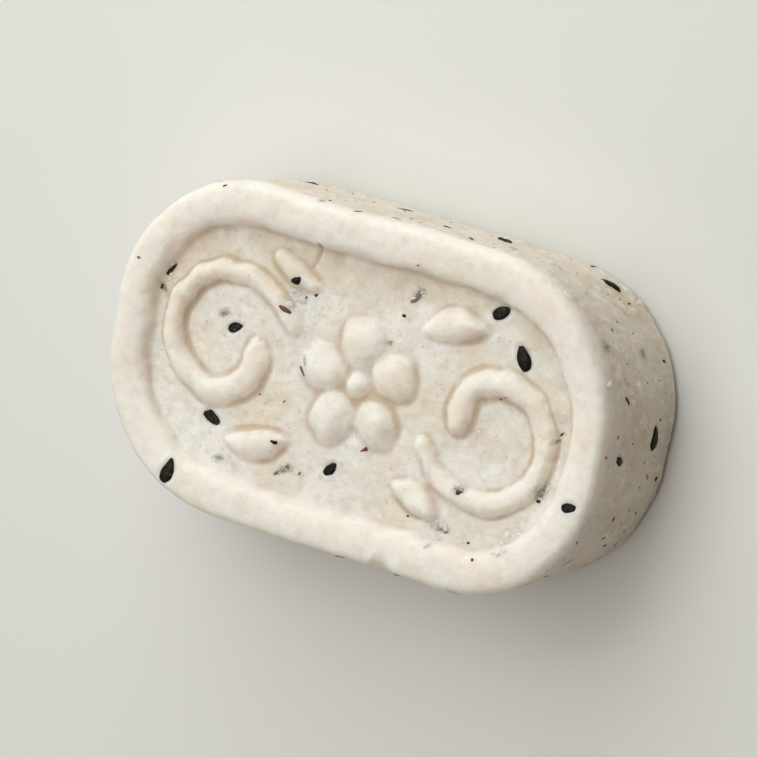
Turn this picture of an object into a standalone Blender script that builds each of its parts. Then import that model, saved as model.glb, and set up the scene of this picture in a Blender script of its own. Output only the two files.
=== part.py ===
"""An eight treasure cake: one moulded cake of rice flour and ground nuts, lying face up.

The cake is a rounded oblong with a broad soft rim round a sunken panel. A plum blossom and two
curled vines stand on the panel in low relief. Black sesame seeds and a few pieces of red date are
pressed into the face and the sides. All of it is one solid.

Units are metres, +Z is up, and the origin lies on the underside, in the middle of the cake.
Run with: blender --background --python part.py
"""

import math
import random

import bmesh
import bpy
import numpy as np
from mathutils import Matrix, Vector

MM = 0.001

# The block
LENGTH = 60.0 * MM
WIDTH = 36.3 * MM
THICKNESS = 17.0 * MM
CORNER_RADIUS = 16.0 * MM
SHOULDER_ROUNDING = 2.4 * MM
FOOT_ROUNDING = 1.6 * MM
FOOT_INSET_AT_ENDS = 0.35 * MM
FOOT_INSET_AT_SIDES = 1.5 * MM
BELLY_HEIGHT = 7.5 * MM
BELLY_INSET_AT_SIDES = 0.45 * MM
BELLY_ROUNDING = 6.0 * MM

# The rim and the panel inside it
PANEL_LENGTH = 51.9 * MM
PANEL_WIDTH = 27.1 * MM
PANEL_RADIUS = 11.9 * MM
PANEL_DEPTH = 1.7 * MM
PANEL_WALL_SLOPE = 0.35 * MM
PANEL_WALL_ROUNDING = 0.7 * MM
LIP_ROUNDING = 1.1 * MM
RIM_CROWN = 0.2 * MM
RIM_CROWN_ROUNDING = 1.4 * MM

# Shares of the way round that a corner, a long side and an end take
CORNER_SHARE = 0.152
SIDE_SHARE = 0.170
END_SHARE = 0.026
ROUND_COUNT = 96
ROUNDING_RINGS = 4

# The slow unevenness of a cake pressed by hand: how far the waves push, how long they are, and
# where each begins
WARP_ACROSS = 0.16 * MM
WARP_UP = 0.14 * MM
WARP_AT_FOOT = 0.3
WAVE_X = 5.3 * MM
WAVE_Y = 4.1 * MM
WAVE_Z = 8.5 * MM
WAVE_STARTS = (0.6, 1.9, 0.4, -0.7)

# The plum blossom in the middle of the panel
RELIEF = 1.0 * MM
PETAL_COUNT = 5
PETAL_DISTANCE = 4.7 * MM
PETAL_HALF_LENGTH = 2.8 * MM
PETAL_HALF_WIDTH = 2.5 * MM
BLOSSOM_TURN = math.radians(96)
HEART_RADIUS = 1.3 * MM

# The curled vine of the right half; the left half is the same, turned half way round
VINE_CENTRE = (16.6 * MM, -0.3 * MM)
VINE_START_ANGLE = math.radians(-158)
VINE_SWEEP = math.radians(350)
VINE_START_RADIUS = 8.6 * MM
VINE_PITCH = 4.9 * MM
VINE_HALF_WIDTH = 1.55 * MM
VINE_TAIL_HALF_WIDTH = 0.9 * MM
VINE_POINTS = 34

# Leaves of the right half: start, end, sideways bow and half width
LEAVES = (
    ((6.8 * MM, 7.6 * MM), (13.8 * MM, 9.7 * MM), 0.5 * MM, 1.7 * MM),
    ((6.6 * MM, -8.9 * MM), (12.0 * MM, -11.2 * MM), 0.3 * MM, 1.35 * MM),
)
LEAF_POINTS = 11

# Sesame seeds
SEED_LENGTH = 2.8 * MM
SEED_WIDTH = 1.65 * MM
SEED_THICKNESS = 0.9 * MM
SEED_SIZE_SPREAD = 0.12
SEED_SINK = 0.1 * MM
SPREAD_COUNT = 19
SPREAD_SHARES = (0.37, 0.86)
SPREAD_HEIGHTS = (1.8 * MM, 14.6 * MM)
SPREAD_TRIES = 14
SPREAD_SEED = 8

# Seeds in plain view on the panel: x, y, turn in degrees, size
PANEL_SEEDS = (
    (18.5 * MM, 8.1 * MM, 119, 1.0),
    (15.1 * MM, 12.0 * MM, 39, 0.92),
    (-16.2 * MM, -8.2 * MM, -21, 0.95),
    (-15.8 * MM, 2.0 * MM, 30, 0.7),
    (-1.1 * MM, -9.4 * MM, 55, 0.72),
)

# Seeds in plain view on the rim: share of the way round, inset, turn in degrees and size
RIM_SEEDS = (
    (0.614, 2.3 * MM, 80, 1.0),
    (0.953, 2.0 * MM, 10, 0.7),
)

# Seeds on the end and the side that face the viewer: share of the way round, height, turn in
# degrees and size
SIDE_SEEDS = (
    (0.999, 4.8 * MM, 8, 1.0),
    (0.987, 12.2 * MM, 60, 0.65),
    (0.335, 3.8 * MM, 70, 1.0),
    (0.262, 5.0 * MM, 20, 0.95),
    (0.186, 5.6 * MM, 130, 1.0),
    (0.112, 3.4 * MM, 35, 0.9),
)

# Pieces of red date on the sides: share of the way round, height, turn in degrees, half length
DATES = (
    (0.735, 9.6 * MM, 20, 2.4 * MM),
    (0.470, 5.2 * MM, 110, 1.9 * MM),
    (0.592, 11.0 * MM, 65, 1.7 * MM),
)
DATE_HALF_WIDTH_SHARE = 0.72
DATE_HALF_THICKNESS = 0.9 * MM
DATE_ROUGHNESS = 0.16

# Looks
CAKE_COLOUR = (0.73, 0.68, 0.58, 1.0)
CAKE_ROUGHNESS = 0.75


def section_corners():
    """The corners of the block's section, from the underside to the floor of the panel.

    Each is a ring's half length, half width, corner radius and height, and then the rounding
    that the corner gets.
    """
    a, b, r = LENGTH / 2, WIDTH / 2, CORNER_RADIUS
    pa, pb, pr = PANEL_LENGTH / 2, PANEL_WIDTH / 2, PANEL_RADIUS
    slope = PANEL_WALL_SLOPE / 2
    floor = THICKNESS - PANEL_DEPTH
    foot_ends, foot_sides = FOOT_INSET_AT_ENDS, FOOT_INSET_AT_SIDES
    middle = ((a + pa) / 2, (b + pb) / 2, (r + pr) / 2)
    return np.array([
        (a - foot_ends - 4 * MM, b - foot_sides - 4 * MM, r - 4 * MM, 0, 0),
        (a - foot_ends, b - foot_sides, r - foot_sides, 0, FOOT_ROUNDING),
        (a + 0.1 * MM, b - BELLY_INSET_AT_SIDES, r, BELLY_HEIGHT, BELLY_ROUNDING),
        (a, b, r, THICKNESS, SHOULDER_ROUNDING),
        (*middle, THICKNESS + RIM_CROWN, RIM_CROWN_ROUNDING),
        (pa + slope, pb + slope, pr + slope, THICKNESS - RIM_CROWN, LIP_ROUNDING),
        (pa - slope, pb - slope, pr - slope, floor, PANEL_WALL_ROUNDING),
        (pa - 2 * MM, pb - 2 * MM, pr - 2 * MM, floor, 0),
    ])


def section_rings(steps):
    """Rings along the section, each corner replaced by a quadratic curve of `steps` rings.

    The curve leaves and joins the two straight legs one rounding away from the corner, measured
    in the section across the cake, and at most half way along a leg.
    """
    corners = section_corners()
    rings = [corners[0, :4]]
    for before, corner, after in zip(corners, corners[1:], corners[2:]):
        ends = []
        for other in (before, after):
            reach = math.hypot(*(other - corner)[[1, 3]])
            share = min(corner[4] / reach, 0.5)
            ends.append(corner + (other - corner) * share)
        for t in np.linspace(0, 1, steps):
            ring = ends[0] * (1 - t) ** 2 + 2 * corner * t * (1 - t) + ends[1] * t ** 2
            rings.append(ring[:4])
    rings.append(corners[-1, :4])
    return np.array(rings)


def around(share):
    """Direction and slides of a rounded oblong, for shares of the way round from +X.

    The direction turns through the corners and waits along the straight sides, where the
    corner's centre slides instead.
    """
    corner, side, end = CORNER_SHARE, SIDE_SHARE, END_SHARE
    knots = np.cumsum([0, corner, side, corner, end, corner, side, corner, end])
    quarter = math.pi / 2
    turn = np.interp(share, knots, quarter * np.array([0, 1, 1, 2, 2, 3, 3, 4, 4]))
    slide_x = np.interp(share, knots, [1, 1, -1, -1, -1, -1, 1, 1, 1])
    slide_y = np.interp(share, knots, [1, 1, 1, 1, -1, -1, -1, -1, 1])
    return turn, slide_x, slide_y


def ring_points(ring, share):
    """Points of one ring: corner centre plus radius times direction."""
    half_length, half_width, radius, height = ring
    turn, slide_x, slide_y = around(share)
    x = (half_length - radius) * slide_x + radius * np.cos(turn)
    y = (half_width - radius) * slide_y + radius * np.sin(turn)
    return np.stack([x, y, np.full_like(x, height)], axis=-1)


def warp(points):
    """Moves points by slow waves, which fade to nothing on the underside."""
    x, y, z = points[..., 0] / WAVE_X, points[..., 1] / WAVE_Y, points[..., 2] / WAVE_Z
    fade = np.clip(points[..., 2] / THICKNESS, 0, 1)
    lean = WARP_ACROSS * (WARP_AT_FOOT + (1 - WARP_AT_FOOT) * fade)
    first, second, third, fourth = WAVE_STARTS
    moved = points.copy()
    moved[..., 0] += lean * np.sin(y + z + first)
    moved[..., 1] += lean * np.sin(x - z + second)
    moved[..., 2] += WARP_UP * fade * np.sin(x + third) * np.cos(y + fourth)
    return moved


def skin_frame(share, height=None, inset=None):
    """A point of the side at a height, or of the rim at an inset, with its normal and tangent."""
    rings = section_rings(9)
    top = int(np.argmax(rings[:, 3]))
    across = WIDTH / 2 - rings[:, 1]
    if inset is None:
        order = np.interp(height, rings[:top, 3], np.arange(top))
    else:
        first = int(np.argmin(across[:top]))
        order = np.interp(inset, across[first:], np.arange(first, len(rings)))
    step = 0.4
    near = [ring_points(ring_between(rings, order + d), np.array([share]))[0]
            for d in (-step, 0, step)]
    beside = ring_points(ring_between(rings, order), np.array([share + 0.002]))[0]
    along = Vector(beside - near[1]).normalized()
    up = Vector(near[2] - near[0]).normalized()
    return Vector(near[1]), along.cross(up).normalized(), along


def ring_between(rings, order):
    """The ring at a fractional place in the list."""
    places = np.arange(len(rings))
    return np.array([np.interp(order, places, rings[:, k]) for k in range(4)])


def new_object(name, mesh_data, collection):
    """Writes a bmesh to a new object, warped as the whole cake is."""
    mesh = bpy.data.meshes.new(name)
    bmesh.ops.recalc_face_normals(mesh_data, faces=mesh_data.faces)
    mesh_data.to_mesh(mesh)
    mesh_data.free()
    warp_mesh(mesh)
    body = bpy.data.objects.new(name, mesh)
    collection.objects.link(body)
    return body


def warp_mesh(mesh):
    """Applies the warp to a mesh in place."""
    points = np.empty(len(mesh.vertices) * 3)
    mesh.vertices.foreach_get("co", points)
    mesh.vertices.foreach_set("co", warp(points.reshape(-1, 3)).ravel())
    mesh.update()


def make_block(collection):
    """The plain block: the section's rings bridged one after another, closed by two flat faces."""
    share = np.arange(ROUND_COUNT) / ROUND_COUNT
    block = bmesh.new()
    loops = []
    for ring in section_rings(ROUNDING_RINGS)[1:-1]:
        verts = [block.verts.new(point) for point in ring_points(ring, share)]
        loops.append([block.edges.new(pair) for pair in zip(verts, verts[1:] + verts[:1])])
    for lower, upper in zip(loops, loops[1:]):
        bmesh.ops.bridge_loops(block, edges=lower + upper)
    for loop in (loops[0], loops[-1]):
        bmesh.ops.contextual_create(block, geom=loop)
    return new_object("cake", block, collection)


def make_lobe(name, half_sizes, matrix, collection, segments=12, rings=6):
    """A flattened ball, such as a petal, half sunk in the floor of the panel."""
    lobe = bmesh.new()
    bmesh.ops.create_uvsphere(lobe, u_segments=segments, v_segments=rings, radius=1.0)
    placed = matrix @ Matrix.Diagonal((*half_sizes, 1.0))
    bmesh.ops.transform(lobe, matrix=placed, verts=lobe.verts)
    return new_object(name, lobe, collection)


def make_blossom(collection):
    """Five petals round a heart."""
    floor = THICKNESS - PANEL_DEPTH
    for k in range(PETAL_COUNT):
        turn = Matrix.Rotation(BLOSSOM_TURN + k * math.tau / PETAL_COUNT, 4, "Z")
        place = Matrix.Translation((0, 0, floor)) @ turn @ Matrix.Translation((PETAL_DISTANCE, 0, 0))
        half_sizes = (PETAL_HALF_LENGTH, PETAL_HALF_WIDTH, RELIEF)
        make_lobe(f"petal_{k}", half_sizes, place, collection)
    heart = Matrix.Translation((0, 0, floor))
    make_lobe("heart", (HEART_RADIUS, HEART_RADIUS, RELIEF), heart, collection, 10)


def make_stroke(name, path, half_widths, collection):
    """A rounded ridge along a path: a bevelled curve, squashed to the height of the relief."""
    curve = bpy.data.curves.new(name, "CURVE")
    curve.dimensions = "3D"
    curve.bevel_depth = 1.0
    curve.bevel_resolution = 3
    curve.use_fill_caps = True
    spline = curve.splines.new("POLY")
    spline.points.add(len(path) - 1)
    for point, place, half_width in zip(spline.points, path, half_widths):
        point.co = (*place, 0, 1)
        point.radius = half_width
    guide = bpy.data.objects.new(name, curve)
    collection.objects.link(guide)
    mesh = bpy.data.meshes.new_from_object(guide.evaluated_get(bpy.context.evaluated_depsgraph_get()))
    bpy.data.objects.remove(guide)
    bpy.data.curves.remove(curve)
    stroke = bmesh.new()
    stroke.from_mesh(mesh)
    bpy.data.meshes.remove(mesh)
    bmesh.ops.remove_doubles(stroke, verts=stroke.verts, dist=0.01 * MM)
    floor = Matrix.Translation((0, 0, THICKNESS - PANEL_DEPTH))
    squash = Matrix.Diagonal((1, 1, RELIEF / max(half_widths), 1))
    bmesh.ops.transform(stroke, matrix=floor @ squash, verts=stroke.verts)
    return new_object(name, stroke, collection)


def rounded_ends(half_widths, distances):
    """Half widths that close like a ball over the last half width at each end."""
    total = distances[-1]
    from_end = np.minimum(distances, total - distances)
    open_share = np.clip(from_end / half_widths, 0.02, 1)
    return half_widths * np.sqrt(1 - (1 - open_share) ** 2)


def vine_path():
    """A curl whose radius shrinks evenly with its angle, and its half widths."""
    # Points lie closer together near the two ends, where the ridge is rounded off.
    t = 0.5 - 0.5 * np.cos(np.linspace(0, math.pi, VINE_POINTS))
    t = 0.5 * t + 0.5 * np.linspace(0, 1, VINE_POINTS)
    angle = VINE_START_ANGLE + VINE_SWEEP * t
    radius = VINE_START_RADIUS - VINE_PITCH * VINE_SWEEP * t / math.tau
    path = np.stack([VINE_CENTRE[0] + radius * np.cos(angle),
                     VINE_CENTRE[1] + radius * np.sin(angle)], axis=1)
    steps = np.hypot(*np.diff(path, axis=0).T)
    distances = np.concatenate([[0], np.cumsum(steps)])
    widths = VINE_TAIL_HALF_WIDTH + (VINE_HALF_WIDTH - VINE_TAIL_HALF_WIDTH) * np.sqrt(t)
    return path, rounded_ends(widths, distances)


def leaf_path(start, end, bow, half_width):
    """A bowed leaf: straight from start to end, pushed sideways and widest in the middle."""
    t = 0.5 - 0.5 * np.cos(np.linspace(0, math.pi, LEAF_POINTS))
    start, end = np.array(start), np.array(end)
    across = np.array([start[1] - end[1], end[0] - start[0]])
    across /= np.hypot(*across)
    hump = np.sin(math.pi * t)
    path = start + np.outer(t, end - start) + np.outer(bow * hump, across)
    return path, half_width * np.clip(hump, 0.02, 1) ** 0.6


def make_vines(collection):
    """The curl and leaves of the right half, and the same turned half way round."""
    strokes = [vine_path()] + [leaf_path(*leaf) for leaf in LEAVES]
    for side, sign in (("right", 1), ("left", -1)):
        for k, (path, half_widths) in enumerate(strokes):
            make_stroke(f"stroke_{side}_{k}", sign * path, half_widths, collection)


def turned_to(point, normal, along, turn):
    """The matrix that stands a piece on the skin: its Z along the normal, its X turned."""
    side = normal.cross(along).normalized()
    axes = Matrix((along, side, normal)).transposed().to_4x4()
    return Matrix.Translation(point) @ axes @ Matrix.Rotation(math.radians(turn), 4, "Z")


def make_seed(name, matrix, size, collection):
    """A sesame seed: a flat ball, drawn to a blunt point at one end."""
    seed = bmesh.new()
    bmesh.ops.create_uvsphere(seed, u_segments=6, v_segments=4, radius=1.0)
    poles_along_x = Matrix.Rotation(math.pi / 2, 4, "Y")
    bmesh.ops.transform(seed, matrix=poles_along_x, verts=seed.verts)
    for vert in seed.verts:
        narrowing = 1 - 0.25 * vert.co.x
        vert.co = Vector((vert.co.x * SEED_LENGTH, vert.co.y * SEED_WIDTH * narrowing,
                          vert.co.z * SEED_THICKNESS)) * size / 2
    sunk = matrix @ Matrix.Translation((0, 0, -SEED_SINK))
    bmesh.ops.transform(seed, matrix=sunk, verts=seed.verts)
    return new_object(name, seed, collection)


def spread_round_sides(count, taken, chooser):
    """Places on the side, each the random one of a few that lies farthest from all before it."""
    length_round = 2 * (LENGTH + WIDTH) - (8 - math.tau) * CORNER_RADIUS
    places = []
    for _ in range(count):
        best, best_gap = None, -1.0
        for _ in range(SPREAD_TRIES):
            share, height = chooser.uniform(*SPREAD_SHARES), chooser.uniform(*SPREAD_HEIGHTS)
            gap = min(
                math.hypot(((share - s + 0.5) % 1 - 0.5) * length_round, height - h)
                for s, h in taken + places
            )
            if gap > best_gap:
                best, best_gap = (share, height), gap
        places.append(best)
    return places


def make_seeds(collection):
    """The seeds in plain view, then the others spread evenly over the far end and side."""
    chooser = random.Random(SPREAD_SEED)
    up, right = Vector((0, 0, 1)), Vector((1, 0, 0))
    floor = THICKNESS - PANEL_DEPTH
    places = []
    for x, y, turn, size in PANEL_SEEDS:
        places.append((turned_to(Vector((x, y, floor)), up, right, turn), size))
    for share, inset, turn, size in RIM_SEEDS:
        point, normal, _ = skin_frame(share, inset=inset)
        places.append((turned_to(point, normal, right, turn), size))
    for share, height, turn, size in SIDE_SEEDS:
        places.append((turned_to(*skin_frame(share, height=height), turn), size))
    taken = [(share, height) for share, height, _, _ in SIDE_SEEDS + DATES]
    for share, height in spread_round_sides(SPREAD_COUNT, taken, chooser):
        size = 1 - SEED_SIZE_SPREAD + 2 * SEED_SIZE_SPREAD * chooser.random()
        turn = chooser.uniform(0, 360)
        places.append((turned_to(*skin_frame(share, height=height), turn), size))
    for k, (matrix, size) in enumerate(places):
        make_seed(f"seed_{k}", matrix, size, collection)


def make_dates(collection):
    """Chopped pieces of date: flattened balls with uneven facets."""
    chooser = random.Random(SPREAD_SEED + 1)
    for k, (share, height, turn, half_length) in enumerate(DATES):
        date = bmesh.new()
        bmesh.ops.create_icosphere(date, subdivisions=2, radius=1.0)
        for vert in date.verts:
            vert.co *= 1 + DATE_ROUGHNESS * (chooser.random() - 0.5) * 2
        half_sizes = (half_length, half_length * DATE_HALF_WIDTH_SHARE, DATE_HALF_THICKNESS, 1)
        place = turned_to(*skin_frame(share, height=height), turn)
        bmesh.ops.transform(date, matrix=place @ Matrix.Diagonal(half_sizes), verts=date.verts)
        new_object(f"date_{k}", date, collection)


def fuse(body, pieces):
    """Joins every piece into the body by one union, then removes the pieces."""
    union = body.modifiers.new("toppings", "BOOLEAN")
    union.operation = "UNION"
    union.operand_type = "COLLECTION"
    union.collection = pieces
    union.solver = "EXACT"
    evaluated = body.evaluated_get(bpy.context.evaluated_depsgraph_get())
    joined = bpy.data.meshes.new_from_object(evaluated)
    body.modifiers.clear()
    body.data = joined
    for piece in list(pieces.objects):
        bpy.data.objects.remove(piece)
    bpy.data.collections.remove(pieces)


def cake_material():
    """Pale, creamy and matt."""
    material = bpy.data.materials.new("rice_cake")
    material.use_nodes = True
    shader = material.node_tree.nodes["Principled BSDF"]
    shader.inputs["Base Color"].default_value = CAKE_COLOUR
    shader.inputs["Roughness"].default_value = CAKE_ROUGHNESS
    shader.inputs["Metallic"].default_value = 0.0
    return material


def main():
    for old in list(bpy.data.objects):
        bpy.data.objects.remove(old)
    scene_collection = bpy.context.scene.collection
    pieces = bpy.data.collections.new("pieces")
    scene_collection.children.link(pieces)
    cake = make_block(scene_collection)
    make_blossom(pieces)
    make_vines(pieces)
    make_seeds(pieces)
    make_dates(pieces)
    fuse(cake, pieces)
    cake.data.materials.clear()
    cake.data.materials.append(cake_material())


main()
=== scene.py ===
"""An eight treasure cake in full dress: rice flour body, sesame seeds, date and nut pieces.

The cake is a rounded oblong with a broad soft rim round a sunken panel, on which a plum blossom
and two curled vines stand in low relief. The file is laid out as an add-on: property groups hold
the sizes and colours, an operator makes each kind of piece, and a panel lists the operators.
Units are metres, +Z is up, and the origin is on the underside in the middle of the cake.
"""

import itertools
import math
import random

import bpy
import numpy as np
from bpy.props import FloatProperty, FloatVectorProperty, PointerProperty
from mathutils import Matrix, Vector
from mathutils.bvhtree import BVHTree


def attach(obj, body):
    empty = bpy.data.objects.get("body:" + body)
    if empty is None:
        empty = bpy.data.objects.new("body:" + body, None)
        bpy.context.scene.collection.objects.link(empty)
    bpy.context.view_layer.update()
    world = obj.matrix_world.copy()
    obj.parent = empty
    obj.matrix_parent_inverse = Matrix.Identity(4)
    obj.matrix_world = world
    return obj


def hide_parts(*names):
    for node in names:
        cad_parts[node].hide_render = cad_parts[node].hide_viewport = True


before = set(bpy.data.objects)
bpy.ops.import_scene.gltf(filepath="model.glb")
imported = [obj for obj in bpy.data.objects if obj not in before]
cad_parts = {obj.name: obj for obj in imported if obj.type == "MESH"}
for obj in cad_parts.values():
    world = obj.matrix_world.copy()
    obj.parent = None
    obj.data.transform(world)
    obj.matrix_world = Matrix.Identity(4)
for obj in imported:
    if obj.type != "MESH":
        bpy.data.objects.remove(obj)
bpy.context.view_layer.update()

bl_info = {
    "name": "Eight Treasure Cake",
    "version": (1, 0, 0),
    "blender": (4, 5, 0),
    "location": "View3D > Sidebar > Cake",
    "description": "Makes a moulded rice cake with sesame seeds, dates and nuts",
    "category": "Add Mesh",
}

MM = 0.001
NODE = "cake"
BODY = "root"


def in_metres(columns, rows):
    """The rows of a table, with the columns of these numbers turned from millimetres to metres."""
    return tuple(tuple(value * MM if k in columns else value for k, value in enumerate(row))
                 for row in rows)


# Shares of the way round that a corner, a long side and an end take
CORNER_SHARE = 0.152
SIDE_SHARE = 0.170
END_SHARE = 0.026

# Fineness of the body's mesh, and of the section where only a place on the skin is looked up
GRID_LONG = 232
GRID_SHORT = 128
RING_COUNT = 94
ROUNDING_STEPS = 12
LOOK_UP_STEPS = 9

# How close together the body's rings lie: more so at the foot's edge, less on the underside, and on
# the wall
EDGE_CLOSER, UNDERSIDE_CLOSENESS, WALL_CLOSENESS = 0.9, 0.35, 1.5

# The section: how wide the outer band of the underside is, how far the foot is drawn in, where the
# belly stands, half the lean of the wall round the panel, how high the rim's crown is and how wide
# the outer band of the panel's floor is, and then the rounding of each corner
UNDERSIDE_BAND = 4 * MM
FOOT_IN_ENDS, FOOT_IN_SIDES = 0.35 * MM, 1.5 * MM
BELLY_OUT, BELLY_IN, BELLY_HEIGHT = 0.1 * MM, 0.45 * MM, 7.5 * MM
WALL_SLOPE, CROWN, FLOOR_BAND = 0.38 * MM, 0.2 * MM, 2 * MM
FOOT_ROUND, BELLY_ROUND, SHOULDER_ROUND = 1.6 * MM, 6 * MM, 2.4 * MM
CROWN_ROUND, LIP_ROUND, WALL_FOOT_ROUND = 1.4 * MM, 0.8 * MM, 0.4 * MM

# What lies above this height belongs to the rim and the panel
UPPER_PART = 8 * MM

# The slow unevenness of a cake pressed by hand
WARP_ACROSS = 0.16 * MM
WARP_UP = 0.14 * MM
WARP_AT_FOOT = 0.3
WAVE_X = 5.3 * MM
WAVE_Y = 4.1 * MM
WAVE_Z = 8.5 * MM
WAVE_STARTS = (0.6, 1.9, 0.4, -0.7)

# Layers of finer unevenness: height (on the skin and the rim in millimetres, on the strokes as a
# share of their width), size across and seed
SKIN_LUMPS = in_metres((1,), ((0.1, 3.6, 31), (0.075, 1.7, 32), (0.05, 0.9, 37)))
SKIN_GRAINS = in_metres((1,), ((0.09, 1.15, 33), (0.06, 0.7, 34), (-0.12, 1.5, 35)))
RIM_WOBBLES = in_metres((1,), ((0.34, 4.5, 43), (0.16, 1.9, 45)))
STROKE_EDGES = in_metres((1,), ((0.16, 5.5, 24), (0.08, 2, 25)))

# The thin edge that the mould leaves along the foot, the chip below the rim by share of the way
# round and inset, and the crack in the panel from end to end; and their heights and depths and
# those of the pits, the coarse grains and the filled-out shoulder, in millimetres
FOOT_EDGE_HEIGHT = 1.1 * MM
CHIP_SHARE, CHIP_INSET, CHIP_RADIUS = 0.784, 0.5 * MM, 1.5 * MM
CRACK = in_metres((0, 1), ((-7.1, 13.2), (-7.8, 10.8)))
EDGE_OUT, CHIP_DEPTH, CRACK_DEPTH = 0.34, 0.45, 0.42
PIT_DEPTH, COARSE_HEIGHT, SHOULDER_OUT = 0.09, 0.3, 0.26

# The plum blossom
PETAL_COUNT = 5
PETAL_DISTANCE = 4.7 * MM
PETAL_HALF_LENGTH = 2.8 * MM
PETAL_HALF_WIDTH = 2.5 * MM
BLOSSOM_TURN = math.radians(96)
HEART_RADIUS = 1.3 * MM

# The curled vine and the leaves of the right half; the left half is turned half way round
VINE_CENTRE = (16.6 * MM, -0.3 * MM)
VINE_START_ANGLE = math.radians(-158)
VINE_SWEEP = math.radians(350)
VINE_START_RADIUS = 8.6 * MM
VINE_PITCH = 4.9 * MM
VINE_HALF_WIDTH = 1.55 * MM
VINE_TAIL_HALF_WIDTH = 0.9 * MM
LEAVES = (
    ((6.8 * MM, 7.6 * MM), (13.8 * MM, 9.7 * MM), 0.5 * MM, 1.7 * MM),
    ((6.6 * MM, -8.9 * MM), (12.0 * MM, -11.2 * MM), 0.3 * MM, 1.35 * MM),
)
PATH_POINTS = 90

# How the strokes meet the floor, the least share of their width at their ends, and how often the
# relief is smoothed for the floor itself and for the search of its dips, where shade is painted
STROKE_FILLET, GROOVE_DEPTH = 0.1 * MM, 0.12 * MM
THINNEST_SHARE = 0.02
RELIEF_ROUNDS, DIP_ROUNDS = 2, 12

# Numbers that start the random draws, so that each comes out the same every time. The bits, lumps,
# crumbs and smudges use the next number for their places, and all but the smudges the one after
# it for their dents.
SPREAD_SEED, DATE_SEED, SHAPE_SEED = 8, 9, 13
BIT_SEED, LUMP_SEED, CRUMB_SEED, SMUDGE_SEED = 61, 71, 81, 91

# Seeds in plain view: on the panel by x and y, on the rim by share of the way round and inset,
# on the sides by share and height, each with a turn in degrees and a size
PANEL_SEEDS = in_metres((0, 1), (
    (18.5, 8.1, 119, 1.0),
    (15.1, 12.0, 39, 0.92),
    (-16.2, -8.2, -21, 0.95),
    (-15.8, 2.0, 30, 0.7),
    (-1.1, -9.4, 55, 0.72),
))
RIM_SEEDS = in_metres((1,), (
    (0.614, 2.3, 80, 1.0),
    (0.953, 2.0, 10, 0.7),
))
SIDE_SEEDS = in_metres((1,), (
    (0.999, 4.8, 8, 1.0),
    (0.987, 12.2, 60, 0.65),
    (0.335, 3.8, 70, 1.0),
    (0.262, 5.0, 20, 0.95),
    (0.186, 5.6, 130, 1.0),
    (0.112, 3.4, 35, 0.9),
))

# How much seeds differ: sunk by, tilt, bend, and shares of the full width and thickness
SEED_SINKS = (0.06 * MM, 0.24 * MM)
SEED_TILT, SEED_BEND = 0.1, 0.16
SEED_WIDTHS, SEED_THICKNESSES = (0.82, 0.98), (0.75, 0.95)

# How a seed presses in the dough: depth of the bowl and height of the ring round it in millimetres,
# the ring's place and width as shares of the seed's half size, and a margin
BOWL_DEPTH, RING_HEIGHT, RING_PLACE, RING_WIDTH = 0.16, 0.09, 1.25, 0.17
PRESS_MARGIN, PRESS_REACH = 0.1 * MM, 1.5 * MM

# The seeds round the hidden sides: how many, their sizes, where, and from how many tries each place
# is picked; and the range of heights for everything smaller
SPREAD_COUNT = 19
SPREAD_SIZES = (0.68, 1.04)
SPREAD_SHARES = (0.37, 0.86)
SPREAD_HEIGHTS = (1.8 * MM, 14.6 * MM)
SPREAD_TRIES = 14
SIDE_HEIGHTS = (0.9 * MM, 15.8 * MM)

# Pieces of red date on the sides: share of the way round, height, turn in degrees, half length
DATES = in_metres((1, 3), (
    (0.735, 9.6, 20, 2.4),
    (0.470, 5.2, 110, 1.9),
    (0.592, 11.0, 65, 1.7),
))
DATE_HALF_WIDTH_SHARE = 0.72
DATE_HALF_THICKNESS = 0.9 * MM
DATE_SINK = 0.3 * MM

# Tones of the small bits, as places on the colour ramp of ground_bit_material. Pale lies past the
# ramp's end, so that the random shift of a tone never reddens it.
BLACK, UMBER, GREY, RED, PALE = 0.0, 0.3, 0.55, 0.8, 1.08

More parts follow.
